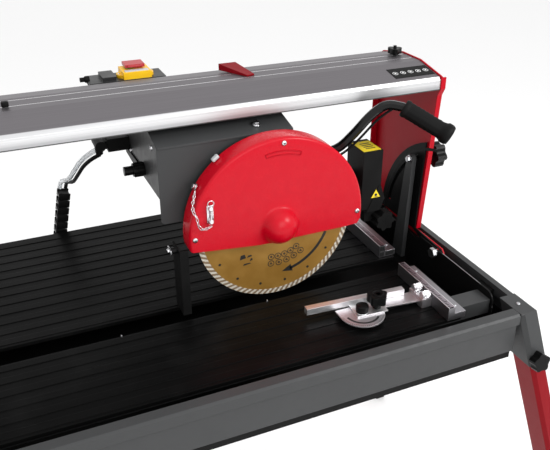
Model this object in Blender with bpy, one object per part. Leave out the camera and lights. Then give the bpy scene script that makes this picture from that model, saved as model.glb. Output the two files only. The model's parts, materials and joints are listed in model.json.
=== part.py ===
"""Bridge tile saw: a wet saw whose head slides along an aluminium bridge over a ribbed table.

Every object hangs on the empty table_datum.  Its frame (x, y, z) has its origin on the table
top, below the blade's plane and in the middle of the machine: x runs along the bridge, y to
the back and z up.  All sizes are in metres.
"""
import math

import bpy
import bmesh
from mathutils import Matrix, Vector

# Driving dimensions
TABLE_HEIGHT = 0.900
HALF_LENGTH = 0.700
FRONT_EDGE = -0.247
REAR_EDGE = 0.393
BLADE_LINE_Y = -(FRONT_EDGE + REAR_EDGE) / 2
GAP = 0.0003
SHEET = 0.003

BLADE_RADIUS = 0.150
BLADE_THICKNESS = 0.0022
BLADE_HEIGHT = 0.147
CARRIAGE_X = 0.292

# Frame rails and legs
LIP_WIDTH = 0.022
LIP_HEIGHT = 0.022
SIDE_LIP_WIDTH = 0.016
RAIL_HEIGHT = 0.084
REAR_RAIL_DROP = 0.0085
SOCKET_LENGTH = 0.115
SOCKET_X = 0.035
SOCKET_Y = 0.060
SOCKET_WALL = 0.0025
LEG_WALL = 0.002
SPLAY_X = 0.235
SPLAY_Y = 0.200

# Tables
TABLE_END = 0.564
TABLE_THICKNESS = 0.008
RIB_PITCH = 0.031
RIB_WIDTH = 0.015
RIB_HEIGHT = 0.0012
FRONT_TABLE = (-0.206, -0.026)
REAR_TABLE = (0.020, REAR_EDGE)

# Tilting end frames, outwards from the middle
SIDE_PLATE_X = 0.6535
SECTOR_X = 0.658
COLUMN_X = 0.662
SECTOR_RADIUS = 0.228
TILT_RANGE = 45.0
TILT_BOLT = (0.110, 0.168)
TILT_SLOT_WIDTH = 0.010
PIVOT_RADIUS = 0.006

# Bridge
BRIDGE_FRONT = 0.057
BRIDGE_REAR = 0.275
BRIDGE_BOTTOM = 0.330
BRIDGE_EDGE_TOP = 0.350
BRIDGE_RIDGE = 0.370
BRIDGE_WALL = 0.003
BRIDGE_LIP = 0.033
RIDGE_FRONT = 0.133
RIDGE_REAR = 0.199
GROOVES_Y = (0.1565, 0.188)
GROOVE_WIDTH = 0.004
GROOVE_DEPTH = 0.0015

# Carriage
HOUSING_LEFT = CARRIAGE_X - 0.200
HOUSING_RIGHT = CARRIAGE_X + 0.048
HOUSING_FRONT = 0.035
HOUSING_REAR = 0.286
HOUSING_BOTTOM = 0.213
HOUSING_REAR_BOTTOM = 0.204
ROLLER_RADIUS = 0.009
ROLLER_Z = BRIDGE_BOTTOM + BRIDGE_WALL + ROLLER_RADIUS + GAP
ROLLERS_X = (CARRIAGE_X - 0.130, CARRIAGE_X - 0.020)
GUARD_RADIUS = 0.167
GUARD_FRONT = -0.018
GUARD_REAR = 0.022
GUARD_WALL = 0.0025
SWITCH_Z = 0.3473


def datum():
    """The empty on the table top that carries every piece."""
    empty = bpy.data.objects.new("table_datum", None)
    empty.location = (0, BLADE_LINE_Y, TABLE_HEIGHT)
    bpy.context.scene.collection.objects.link(empty)
    return empty


def material(name, colour, roughness, metallic):
    """A Principled material, made once for each name."""
    found = bpy.data.materials.get(name)
    if found:
        return found
    made = bpy.data.materials.new(name)
    made.use_nodes = True
    shader = made.node_tree.nodes["Principled BSDF"]
    shader.inputs["Base Color"].default_value = (*colour, 1)
    shader.inputs["Roughness"].default_value = roughness
    shader.inputs["Metallic"].default_value = metallic
    return made


def place(bm, name, look, origin=(0, 0, 0)):
    """Turn a bmesh in datum coordinates into a named object whose origin is at origin."""
    origin = Vector(origin)
    bmesh.ops.remove_doubles(bm, verts=bm.verts, dist=1e-6)
    bmesh.ops.recalc_face_normals(bm, faces=bm.faces)
    bmesh.ops.translate(bm, vec=-origin, verts=bm.verts)
    mesh = bpy.data.meshes.new(name)
    bm.to_mesh(mesh)
    bm.free()
    mesh.shade_smooth()
    mesh.set_sharp_from_angle(angle=math.radians(30))
    made = bpy.data.objects.new(name, mesh)
    made.location = origin
    made.parent = DATUM
    made.data.materials.append(look)
    bpy.context.scene.collection.objects.link(made)
    return made


def helper(bm, name):
    """A hidden tool object for a Boolean."""
    made = place(bm, name, PLAIN)
    made.hide_render = True
    made.display_type = "WIRE"
    return made


def boolean(target, tool, operation):
    """Join a tool object to the target, or cut it out."""
    change = target.modifiers.new(operation.lower(), "BOOLEAN")
    change.operation = operation
    change.object = tool
    change.solver = "EXACT"


def join(target, *meshes):
    """Unite extra bmeshes with the target."""
    for number, bm in enumerate(meshes):
        boolean(target, helper(bm, f"{target.name}_join_{number}"), "UNION")


def cut(target, *meshes):
    """Cut bmeshes out of the target."""
    for number, bm in enumerate(meshes):
        boolean(target, helper(bm, f"{target.name}_cut_{number}"), "DIFFERENCE")


def corner(axis, across, along):
    """A point from its place across an axis, (y, z), (x, z) or (x, y), and its place along it."""
    if axis == "X":
        return Vector((along, across[0], across[1]))
    if axis == "Y":
        return Vector((across[0], along, across[1]))
    return Vector((across[0], across[1], along))


def loft(*sections):
    """A closed solid through sections that have the same number of points."""
    bm = bmesh.new()
    rings = [[bm.verts.new(point) for point in section] for section in sections]
    count = len(rings[0])
    for lower, upper in zip(rings, rings[1:]):
        for i in range(count):
            j = (i + 1) % count
            bm.faces.new((lower[i], lower[j], upper[j], upper[i]))
    bm.faces.new(rings[0])
    bm.faces.new(rings[-1])
    return bm


def prism(axis, outline, start, end):
    """A flat outline pushed along an axis."""
    return loft([corner(axis, point, start) for point in outline],
                [corner(axis, point, end) for point in outline])


def box(x, y, z):
    """A block from three (low, high) pairs."""
    return prism("Z", [(x[0], y[0]), (x[1], y[0]), (x[1], y[1]), (x[0], y[1])], z[0], z[1])


def arc(centre, radius, start, end, steps):
    """Points on an arc, with angles in degrees."""
    points = []
    for i in range(steps + 1):
        angle = math.radians(start + (end - start) * i / steps)
        points.append((centre[0] + radius * math.cos(angle), centre[1] + radius * math.sin(angle)))
    return points


def circle(centre, radius, steps):
    """A closed ring of points."""
    return arc(centre, radius, 0, 360 * (steps - 1) / steps, steps - 1)


def cylinder(axis, centre, radius, start, end, steps=16):
    """A round bar along an axis."""
    return prism(axis, circle(centre, radius, steps), start, end)


def lathe(axis, centre, profile, steps=24, frame=None):
    """Turn a closed profile of (radius, along) points round an axis, or round a frame's Z."""
    bm = bmesh.new()
    rings = []
    for i in range(steps):
        angle = 2 * math.pi * i / steps
        ring = []
        for radius, along in profile:
            across = (radius * math.cos(angle), radius * math.sin(angle))
            if frame is None:
                point = corner(axis, (centre[0] + across[0], centre[1] + across[1]), along)
            else:
                point = frame @ Vector((across[0], across[1], along))
            ring.append(bm.verts.new(point))
        rings.append(ring)
    count = len(profile)
    for i in range(steps):
        here, there = rings[i], rings[(i + 1) % steps]
        for j in range(count):
            k = (j + 1) % count
            if profile[j][0] > 0 or profile[k][0] > 0:
                bm.faces.new((here[j], here[k], there[k], there[j]))
    bmesh.ops.remove_doubles(bm, verts=bm.verts, dist=1e-6)
    bmesh.ops.dissolve_degenerate(bm, edges=bm.edges, dist=1e-6)
    return bm


def star(centre, radius, lobes, depth=0.12, steps=5):
    """The outline of a lobed clamping knob."""
    points = []
    for i in range(lobes * steps):
        angle = 2 * math.pi * i / (lobes * steps)
        r = radius * (1 - depth + depth * math.cos(lobes * angle))
        points.append((centre[0] + r * math.cos(angle), centre[1] + r * math.sin(angle)))
    return points


def smooth_route(points, pieces):
    """Points read from a Catmull-Rom curve through the route's own points."""
    points = [Vector(point) for point in points]
    ends = [2 * points[0] - points[1], *points, 2 * points[-1] - points[-2]]
    route = []
    for i in range(1, len(ends) - 2):
        a, b, c, d = ends[i - 1:i + 3]
        for step in range(pieces):
            t = step / pieces
            route.append(0.5 * (2 * b + (c - a) * t + (2 * a - 5 * b + 4 * c - d) * t * t
                                + (3 * b - a - 3 * c + d) * t ** 3))
    route.append(points[-1])
    return route


def tube(name, route, radius, look, resolution=2):
    """A round tube or cable along a route."""
    curve = bpy.data.curves.new(name, "CURVE")
    curve.dimensions = "3D"
    curve.bevel_depth = radius
    curve.bevel_resolution = resolution
    curve.render_resolution_u = 0
    curve.use_fill_caps = True
    spline = curve.splines.new("POLY")
    spline.points.add(len(route) - 1)
    for target, point in zip(spline.points, route):
        target.co = (*point, 1)
    made = bpy.data.objects.new(name, curve)
    made.parent = DATUM
    curve.materials.append(look)
    bpy.context.scene.collection.objects.link(made)
    return made


def mirrored(side, outline):
    """The outline of a (x, z) or (x, y) section on one side of the machine."""
    return [(side * x, other) for x, other in outline]


# The frame

def long_rail_outline(edge, inward, top):
    """Section (y, z) of a long rail: a boxed lip with an apron below it."""
    bevel = 0.004
    bottom = top - RAIL_HEIGHT
    apron = 0.006
    return [(edge, top - bevel), (edge + inward * bevel, top),
            (edge + inward * LIP_WIDTH, top), (edge + inward * LIP_WIDTH, top - LIP_HEIGHT),
            (edge + inward * (apron + SHEET), top - LIP_HEIGHT),
            (edge + inward * (apron + SHEET), bottom), (edge + inward * apron, bottom),
            (edge + inward * apron, top - LIP_HEIGHT), (edge, top - LIP_HEIGHT)]


def make_long_rails():
    end = HALF_LENGTH - SOCKET_X - 0.0005
    front = place(prism("X", long_rail_outline(FRONT_EDGE, 1, 0), -end, end),
                  "front_rail", FRAME_GREY)
    top = -REAR_RAIL_DROP
    rear = place(prism("X", long_rail_outline(REAR_EDGE, -1, top), -end, end),
                 "rear_rail", FRAME_GREY)
    shelf_z = top - RAIL_HEIGHT
    join(rear, box((-end, end), (REAR_EDGE - 0.008, REAR_EDGE + 0.055), (shelf_z, shelf_z + SHEET)))
    return front, rear


def make_side_rail(side, name):
    outer = HALF_LENGTH
    inner = HALF_LENGTH - SIDE_LIP_WIDTH
    apron = outer - 0.006
    outline = [(outer, -0.003), (outer - 0.003, 0), (inner, 0), (inner, -LIP_HEIGHT),
               (apron - SHEET, -LIP_HEIGHT), (apron - SHEET, -RAIL_HEIGHT),
               (apron, -RAIL_HEIGHT), (apron, -LIP_HEIGHT), (outer, -LIP_HEIGHT)]
    start = FRONT_EDGE + SOCKET_Y + 0.0005
    end = REAR_EDGE - SOCKET_Y - 0.0005
    place(prism("Y", mirrored(side, outline), start, end), name, FRAME_GREY)


def leg_section(side, toward, depth, inset, chamfer):
    """Section of a leg or its socket at a depth below the table top.

    toward is -1 at the front and 1 at the rear.  inset is the distance in from the socket's
    outer faces.
    """
    x_out = HALF_LENGTH + SPLAY_X * depth - inset
    x_in = HALF_LENGTH + SPLAY_X * depth - SOCKET_X + inset
    edge = FRONT_EDGE if toward < 0 else REAR_EDGE
    y_out = edge + toward * (SPLAY_Y * depth - inset)
    y_in = edge + toward * (SPLAY_Y * depth - SOCKET_Y + inset)
    corners = [(x_out, y_out), (x_out, y_in), (x_in, y_in),
               (x_in, y_out - toward * chamfer), (x_in + chamfer, y_out)]
    return [Vector((side * x, y, -depth)) for x, y in corners]


def make_leg(side, toward, corner_name):
    """A corner socket with its cover plate, the leg that plugs into it and its clamp knob."""
    top = 0.0028
    socket = place(loft(leg_section(side, toward, 0, 0, 0.008),
                        leg_section(side, toward, SOCKET_LENGTH, 0, 0.008)),
                   f"leg_socket_{corner_name}", FRAME_GREY)
    cut(socket, loft(leg_section(side, toward, top, SOCKET_WALL, 0.007),
                     leg_section(side, toward, SOCKET_LENGTH + 0.01, SOCKET_WALL, 0.007)))
    edge = FRONT_EDGE if toward < 0 else REAR_EDGE
    reach = -toward
    gusset = [(HALF_LENGTH, edge), (HALF_LENGTH, edge + reach * 0.0601),
              (HALF_LENGTH - 0.0155, edge + reach * 0.0601),
              (HALF_LENGTH - 0.0345, edge + reach * 0.050),
              (HALF_LENGTH - 0.0345, edge)]
    join(socket, prism("Z", mirrored(side, gusset), -SHEET, 0))
    clearance = SOCKET_WALL + 0.0005
    leg = loft(leg_section(side, toward, 0.030, clearance, 0.007),
               leg_section(side, toward, TABLE_HEIGHT, clearance, 0.007))
    leg = place(leg, f"leg_{corner_name}", RED)
    cut(leg, loft(leg_section(side, toward, 0.040, clearance + LEG_WALL, 0.006),
                  leg_section(side, toward, TABLE_HEIGHT + 0.01, clearance + LEG_WALL, 0.006)))
    depth = 0.098
    knob_place = Vector((side * (HALF_LENGTH + 0.002), edge + toward * SPLAY_Y * depth, -depth))
    outward = Vector((0, toward, SPLAY_Y)).normalized()
    frame = Matrix.Translation(knob_place) @ outward.to_track_quat("Z", "X").to_matrix().to_4x4()
    knob = prism("Z", star((0, 0), 0.019, 5), GAP, 0.016)
    knob.transform(frame)
    place(knob, f"leg_knob_{corner_name}", BLACK, knob_place)


def make_water_tray():
    """The plastic tub under the tables, notched round the leg sockets."""
    top, bottom = -0.045, -0.100

    def outline(inset):
        a, c = 0.690 - inset, 0.662 - inset
        front, notch = -0.2375 + inset, -0.186 + inset
        rear_notch, rear = 0.332 - inset, 0.3835 - inset
        return [(-a, notch), (-c, notch), (-c, front), (c, front), (c, notch), (a, notch),
                (a, rear_notch), (c, rear_notch), (c, rear), (-c, rear), (-c, rear_notch),
                (-a, rear_notch)]

    tray = place(prism("Z", outline(0), bottom, top), "water_tray", BLACK)
    cut(tray, prism("Z", outline(SHEET), bottom + SHEET, top + 0.01))


def make_water_pump():
    """The submersible pump that stands in the tray below the rear table."""
    floor = -0.100 + SHEET + GAP
    pump = place(box((-0.060, 0.010), (0.180, 0.225), (floor, floor + 0.052)),
                 "water_pump", BLACK)
    join(pump, cylinder("Z", (-0.025, 0.2025), 0.009, floor + 0.05, floor + 0.062, 12))


def make_table(name, span, first_rib):
    """A ribbed sheet table."""
    low, high = span
    outline = [(high, -RIB_HEIGHT), (high, -TABLE_THICKNESS), (low, -TABLE_THICKNESS),
               (low, -RIB_HEIGHT)]
    start = low + first_rib
    while start + RIB_WIDTH < high - 0.0035:
        outline += [(start, -RIB_HEIGHT), (start, 0), (start + RIB_WIDTH, 0),
                    (start + RIB_WIDTH, -RIB_HEIGHT)]
        start += RIB_PITCH
    place(prism("X", outline, -TABLE_END, TABLE_END), name, TABLE_BLACK)


def make_table_support(name, low, high):
    """A square tube across the frame, below the tables."""
    end = SIDE_PLATE_X - GAP
    wall = 0.0025
    bottom, top = -TABLE_THICKNESS - 0.030, -TABLE_THICKNESS - GAP
    support = place(box((-end, end), (low, high), (bottom, top)), name, FRAME_GREY)
    cut(support, box((-end - 0.01, end + 0.01), (low + wall, high - wall),
                     (bottom + wall, top - wall)))


# The tilting end frames

def tilt_slot(start, end):
    """Cutter for the curved slot that the tilt bolt runs in."""
    y, z = TILT_BOLT
    radius = math.hypot(y, z)
    rest = math.degrees(math.atan2(z, y))
    margin = 3.0
    low, high = rest - TILT_RANGE - margin, rest + margin
    half = TILT_SLOT_WIDTH / 2
    outline = arc((0, 0), radius + half, low, high, 14) + arc((0, 0), radius - half, high, low, 14)
    return prism("X", outline, start, end)


def make_side_plate(side, name):
    """The fixed plate that the tables' supports and the tilt pivot sit on."""
    round_corner = arc((-0.164, -0.012), 0.018, 180, 90, 5)
    outline = round_corner + [(0.060, 0.006), (0.070, -0.004), (0.340, -0.004),
                              (0.340, -0.070), (-0.182, -0.070)]
    inner, outer = side * SIDE_PLATE_X, side * (SIDE_PLATE_X + SHEET)
    plate = place(prism("X", outline, inner, outer), name, BLACK)
    tab_inner, tab_outer = side * (SIDE_PLATE_X + 0.001), side * (HALF_LENGTH - SIDE_LIP_WIDTH - GAP)
    join(plate,
         box((tab_inner, tab_outer), (-0.150, -0.110), (-0.020, -0.010)),
         box((tab_inner, tab_outer), (0.250, 0.290), (-0.020, -0.010)))
    cut(plate, cylinder("X", (0, 0), PIVOT_RADIUS + GAP, side * (SIDE_PLATE_X - 0.01),
                        side * (SIDE_PLATE_X + 0.02)))


def make_tilt_post(side, name):
    """The upright that holds the tilt bolt."""
    y, z = TILT_BOLT
    inner, outer = side * 0.643, side * (SIDE_PLATE_X - GAP)
    outline = [(y, -0.070), (y + 0.037, -0.070)] + arc((y, z), 0.0105, 10, 190, 6)
    place(prism("X", outline, inner, outer), name, FRAME_GREY)


def make_tilt_knob(side, name):
    """The star knob and stud that clamp the tilt."""
    stud = cylinder("X", TILT_BOLT, 0.004, side * SIDE_PLATE_X, side * 0.700, 10)
    knob = place(stud, name, BLACK, (side * 0.697, *TILT_BOLT))
    join(knob, prism("X", star(TILT_BOLT, 0.027, 6), side * 0.697, side * 0.719))


def make_sector(side, name):
    """The quarter disc that turns with the column and carries the tilt slot."""
    outline = arc((0, 0), SECTOR_RADIUS, 70, 2, 14) + [
        (0.100, 0.008), (0.030, -0.015), (0.010, -0.018), (-0.010, -0.013), (-0.014, 0.0),
        (-0.010, 0.007), (0.090, 0.012)]
    inner, outer = side * SECTOR_X, side * (SECTOR_X + SHEET)
    plate = place(prism("X", outline, inner, outer), name, BLACK)
    cut(plate, tilt_slot(side * (SECTOR_X - 0.01), side * (SECTOR_X + 0.02)),
        cylinder("X", (0, 0), PIVOT_RADIUS + GAP, side * (SECTOR_X - 0.01),
                 side * (SECTOR_X + 0.02)))


def make_column(side, name):
    """A sheet column with its flanges, foot and pivot bolt."""
    inner, outer = side * COLUMN_X, side * (COLUMN_X + SHEET)
    web = [(0.055, 0.356), (0.055, 0.332), (0.063, 0.317), (0.0885, 0.006), (0.0835, 0.009),
           (-0.006, 0.008), (-0.014, 0.0), (-0.012, -0.012), (0.0, -0.020), (0.030, -0.020),
           (0.085, -0.004), (0.280, 0.006), (0.280, 0.352), (0.272, 0.3575), (0.199, 0.3722),
           (0.133, 0.3722), (0.060, 0.3577)]
    column = place(prism("X", web, inner, outer), name, RED, (side * COLUMN_X, 0, 0))
    front_flange = [(0.0552, 0.3545), (0.0552, 0.3320), (0.0632, 0.3170), (0.0885, 0.0090),
                    (0.0915, 0.0090), (0.0662, 0.3178), (0.0582, 0.3330), (0.0582, 0.3545)]
    back_flange = [(0.277, 0.012), (0.280, 0.012), (0.280, 0.345), (0.277, 0.345)]
    join(column,
         prism("X", front_flange, side * (COLUMN_X + 0.0005), side * (COLUMN_X + 0.011)),
         prism("X", back_flange, side * (COLUMN_X - 0.014), side * (COLUMN_X + 0.001)),
         cylinder("X", (0, 0), PIVOT_RADIUS, side * 0.642, side * (COLUMN_X + 0.001)),
         cylinder("X", (0, 0), 0.011, side * 0.640, side * 0.648, 6))
    cut(column, tilt_slot(side * (COLUMN_X - 0.01), side * (COLUMN_X + 0.02)))


def make_bridge():
    """The aluminium bridge: a C section, open below, with two grooves in its top."""
    wall = BRIDGE_WALL
    grooves = []
    for y in GROOVES_Y:
        low, high = y - GROOVE_WIDTH / 2, y + GROOVE_WIDTH / 2
        floor = BRIDGE_RIDGE - GROOVE_DEPTH
        grooves += [(low, BRIDGE_RIDGE), (low, floor), (high, floor), (high, BRIDGE_RIDGE)]
    shoulder = 0.004
    outline = [(BRIDGE_FRONT, BRIDGE_BOTTOM), (BRIDGE_FRONT, BRIDGE_EDGE_TOP),
               (BRIDGE_FRONT + shoulder, BRIDGE_EDGE_TOP + 0.0055),
               (RIDGE_FRONT, BRIDGE_RIDGE), *grooves, (RIDGE_REAR, BRIDGE_RIDGE),
               (BRIDGE_REAR - shoulder, BRIDGE_EDGE_TOP + 0.0055),
               (BRIDGE_REAR, BRIDGE_EDGE_TOP), (BRIDGE_REAR, BRIDGE_BOTTOM),
               (BRIDGE_REAR - BRIDGE_LIP, BRIDGE_BOTTOM),
               (BRIDGE_REAR - BRIDGE_LIP, BRIDGE_BOTTOM + wall),
               (BRIDGE_REAR - wall, BRIDGE_BOTTOM + wall),
               (BRIDGE_REAR - wall, BRIDGE_EDGE_TOP - 0.0015),
               (BRIDGE_REAR - shoulder - 0.0015, BRIDGE_EDGE_TOP + 0.0025),
               (RIDGE_REAR, BRIDGE_RIDGE - wall), (RIDGE_FRONT, BRIDGE_RIDGE - wall),
               (BRIDGE_FRONT + shoulder + 0.0015, BRIDGE_EDGE_TOP + 0.0025),
               (BRIDGE_FRONT + wall, BRIDGE_EDGE_TOP - 0.0015),
               (BRIDGE_FRONT + wall, BRIDGE_BOTTOM + wall),
               (BRIDGE_FRONT + BRIDGE_LIP, BRIDGE_BOTTOM + wall),
               (BRIDGE_FRONT + BRIDGE_LIP, BRIDGE_BOTTOM)]
    end = COLUMN_X - GAP
    place(prism("X", outline, -end, end), "bridge_rail", ALUMINIUM, (0, 0, 0))


def make_rail_fittings():
    """The sliding stop and the lock knob in the bridge's grooves."""
    base = BRIDGE_RIDGE + GAP
    x = CARRIAGE_X
    tip = [(x + 0.010, 0.160, base), (x + 0.026, 0.164, base),
           (x + 0.026, 0.164, base + 0.003), (x + 0.010, 0.160, base + 0.003)]
    heel = [(x - 0.024, 0.222, base), (x + 0.010, 0.222, base),
            (x + 0.010, 0.222, base + 0.0125), (x - 0.024, 0.222, base + 0.0125)]
    place(loft(tip, heel), "rail_stop", RED, (x, 0.188, base))
    knob_x = CARRIAGE_X + 0.345
    centre = (knob_x, GROOVES_Y[1])
    knob = place(prism("Z", star(centre, 0.0155, 3, 0.16, 6), base + 0.003, base + 0.014),
                 "lock_knob", BLACK, (*centre, base))
    join(knob, cylinder("Z", centre, 0.0035, base, base + 0.019, 8))


# The carriage

def make_housing():
    """The folded housing that carries the head and runs under the bridge."""
    profile = [(HOUSING_FRONT, HOUSING_BOTTOM), (HOUSING_FRONT, 0.307), (0.120, 0.3265),
               (0.230, 0.3265), (HOUSING_REAR, 0.305), (HOUSING_REAR, HOUSING_REAR_BOTTOM)]
    wall = 0.0025
    hollow = [(HOUSING_FRONT + wall, HOUSING_BOTTOM - 0.01), (HOUSING_FRONT + wall, 0.3048),
              (0.1203, 0.3240), (0.2295, 0.3240), (HOUSING_REAR - wall, 0.3032),
              (HOUSING_REAR - wall, HOUSING_REAR_BOTTOM - 0.01)]
    shell = place(prism("X", profile, HOUSING_LEFT, HOUSING_RIGHT), "carriage_housing",
                  FRAME_GREY, (CARRIAGE_X, 0, ROLLER_Z))
    cut(shell, prism("X", hollow, HOUSING_LEFT + wall, HOUSING_RIGHT - wall))
    x = CARRIAGE_X
    skirt = [(HOUSING_LEFT, 0.215), (HOUSING_LEFT, 0.169), (HOUSING_LEFT + 0.004, 0.165),
             (x - 0.100, 0.165), (x - 0.055, 0.088), (x + 0.048, 0.088), (x + 0.048, 0.215)]
    shelf_left, shelf_right = x - 0.258, x - 0.109
    block = box((x - 0.150, x), (0.146, 0.186), (0.3250, 0.3520))
    join(shell,
         prism("Y", skirt, HOUSING_FRONT, HOUSING_FRONT + wall),
         box((shelf_left, shelf_right), (HOUSING_REAR - wall, HOUSING_REAR), (0.285, SWITCH_Z - GAP)),
         box((shelf_left, shelf_right), (HOUSING_REAR - 0.001, 0.349),
             (SWITCH_Z - GAP - SHEET, SWITCH_Z - GAP)),
         block)
    cut(shell, *[cylinder("Y", (roller_x, ROLLER_Z), 0.0045, 0.14, 0.20, 12)
                 for roller_x in ROLLERS_X],
        cylinder("Y", (x, BLADE_HEIGHT), 0.015, 0.02, 0.05, 16))


def make_wheelset(name, x):
    """An axle with a roller at each end that runs on the bridge's lips."""
    axle = 0.004
    profile = [(0, 0.066), (ROLLER_RADIUS, 0.066), (ROLLER_RADIUS, 0.078), (axle, 0.078),
               (axle, 0.254), (ROLLER_RADIUS, 0.254), (ROLLER_RADIUS, 0.266), (0, 0.266)]
    place(lathe("Y", (x, ROLLER_Z), profile, 16), name, STEEL, (x, 0.166, ROLLER_Z))


def make_motor():
    """The motor behind the blade, with the bracket that holds the handle."""
    x = CARRIAGE_X
    front, back = 0.040, 0.235
    profile = [(0, front), (0.050, front), (0.062, front + 0.012), (0.062, back - 0.020),
               (0.052, back), (0, back)]
    motor = place(lathe("Y", (x, BLADE_HEIGHT), profile, 28), "motor", BLACK)
    join(motor, box((x + 0.040, x + 0.110), (0.052, 0.088), (0.157, 0.196)))


def make_arbor():
    """The blade's shaft, flanges and nut."""
    half = BLADE_THICKNESS / 2 + GAP
    profile = [(0, 0.0395), (0.0125, 0.0395), (0.0125, half + 0.006), (0.030, half + 0.005),
               (0.030, half), (0.0125, half), (0.0125, -half), (0.030, -half),
               (0.030, -half - 0.005), (0.014, -half - 0.006), (0.014, -half - 0.014),
               (0.008, -half - 0.014), (0.008, -half - 0.020), (0, -half - 0.020)]
    place(lathe("Y", (CARRIAGE_X, BLADE_HEIGHT), profile, 18), "arbor", STEEL,
          (CARRIAGE_X, 0, BLADE_HEIGHT))
    half = BLADE_THICKNESS / 2
    bore = 0.0128
    disc = [(bore, -half), (BLADE_RADIUS, -half), (BLADE_RADIUS, half), (bore, half)]
    place(lathe("Y", (CARRIAGE_X, BLADE_HEIGHT), disc, 72), "blade", BLADE_GOLD,
          (CARRIAGE_X, 0, BLADE_HEIGHT))


def guard_outline(radius, extra):
    """The guard's outline (x, z): a disc cut off a little below the blade's axis."""
    x, z = CARRIAGE_X, BLADE_HEIGHT
    upper = arc((x, z), radius, -6, 186, 40)
    lower = [(x - radius + 0.002, z - 0.0185 - extra), (x - 0.036, z - 0.031 - extra),
             (x + 0.135, z - 0.029 - extra), (x + radius - 0.008, z - 0.028 - extra)]
    return upper + lower


def make_guard():
    """The blade guard: a drum open below and behind, with a domed boss over the arbor nut."""
    x, z = CARRIAGE_X, BLADE_HEIGHT
    guard = place(prism("Y", guard_outline(GUARD_RADIUS, 0), GUARD_FRONT, GUARD_REAR),
                  "blade_guard", RED, (x, 0, z))
    dome = [(0, -0.045), (0.012, -0.0435), (0.022, -0.038), (0.030, -0.029), (0.034, -0.017),
            (0, -0.017)]
    bowl = [(0, -0.0425), (0.011, -0.0410), (0.020, -0.0360), (0.0275, -0.0280),
            (0.0315, -0.010), (0, -0.010)]
    lugs = [cylinder("Y", (x + dx, z + dz), 0.006, GUARD_REAR - 0.02, HOUSING_FRONT - GAP, 10)
            for dx, dz in ((-0.096, 0.133), (0.030, 0.158))]
    join(guard, lathe("Y", (x, z), dome, 24), *lugs)
    cut(guard,
        prism("Y", guard_outline(GUARD_RADIUS - GUARD_WALL, 0.02), GUARD_FRONT + GUARD_WALL,
              GUARD_REAR + 0.0005),
        lathe("Y", (x, z), bowl, 24))


def make_splash_flap():
    """The rubber flap behind the blade, with its wing bolt."""
    left, right = CARRIAGE_X - 0.185, CARRIAGE_X - 0.1695
    low, high = 0.002, 0.132
    outline = [(left, -0.014), (right, -0.014), (right, -0.011), (left + 0.003, -0.011),
               (left + 0.003, 0.030), (left, 0.030)]
    flap = place(prism("Z", outline, low, high), "splash_flap", RUBBER)
    join(flap, cylinder("X", (0.006, high - 0.005), 0.006, left - 0.010, left + 0.001, 8))


HANDLE_ROUTE = [(0.094, 0.0715, 0.1995), (0.097, 0.0705, 0.208), (0.110, 0.064, 0.224),
                (0.132, 0.055, 0.240), (0.152, 0.048, 0.251), (0.175, 0.040, 0.276),
                (0.200, 0.033, 0.306), (0.220, 0.026, 0.324), (0.235, 0.018, 0.330),
                (0.252, 0.004, 0.328), (0.272, -0.0155, 0.3145), (0.292, -0.035, 0.301),
                (0.313, -0.0545, 0.287)]


def make_handle():
    """The bent push handle and its foam grip."""
    route = [(CARRIAGE_X + px, py, pz) for px, py, pz in HANDLE_ROUTE]
    tube("handle_tube", smooth_route(route[:10], 3) + [Vector(route[-1])], 0.009, BLACK, 2)
    start, end = Vector(route[9]), Vector(route[-1])
    direction = (end - start).normalized()
    frame = Matrix.Translation(end) @ direction.to_track_quat("Z", "Y").to_matrix().to_4x4()
    length = (end - start).length
    outer, bead, bore = 0.0165, 0.0195, 0.0095
    profile = [(bore, -length + 0.002), (outer - 0.001, -length + 0.002), (outer, -length + 0.006),
               (outer, -0.010), (bead, -0.006), (bead, 0.004), (bead - 0.004, 0.009), (0, 0.009),
               (0, 0.0006), (bore, 0.0006)]
    place(lathe("Z", (0, 0), profile, 18, frame), "handle_grip", RUBBER)


def make_laser():
    """The line laser's box, beside the guard, with its arm to the motor bracket."""
    x = CARRIAGE_X
    knob_centre = (x + 0.235, 0.096)
    laser = place(box((x + 0.181, x + 0.222), (0.010, 0.072), (0.127, 0.2465)),
                  "laser_unit", BLACK)
    join(laser, box((x + 0.110 + GAP, x + 0.185), (0.056, 0.070), (0.160, 0.190)),
         box((x + 0.200, x + 0.238), (0.028, 0.040), (0.090, 0.150)),
         prism("Y", star(knob_centre, 0.021, 7), 0.004, 0.029))


def make_side_fittings():
    """The cable clamp and the carriage's lock knob on the housing's left side."""
    x = HOUSING_LEFT
    clamp = place(box((x - 0.043, x - GAP), (0.250, 0.278), (0.226, 0.252)), "cable_clamp", BLACK)
    join(clamp, cylinder("Y", (x - 0.058, 0.243), 0.0105, 0.240, 0.282, 12),
         box((x - 0.058, x - 0.035), (0.252, 0.274), (0.2325, 0.248)))
    centre = (0.141, 0.229)
    knob = place(cylinder("X", centre, 0.0125, x - 0.021, x - GAP, 14), "carriage_lock", BLACK,
                 (x, *centre))
    join(knob, cylinder("X", centre, 0.0085, x - 0.037, x - 0.020, 14))


HOSE_ROUTE = [(-0.2580, 0.262, 0.2190), (-0.2665, 0.268, 0.2130), (-0.2770, 0.280, 0.2020),
              (-0.2880, 0.300, 0.1830), (-0.2970, 0.325, 0.1570), (-0.3045, 0.355, 0.1310),
              (-0.3095, 0.385, 0.1180), (-0.3135, 0.406, 0.1080),
              (-0.3160, 0.418, 0.0915)]


HOSE_OFFSETS = (Vector((-0.0040, 0.0080, 0.0080)), Vector((-0.0115, 0.0050, 0.0010)))


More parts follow.
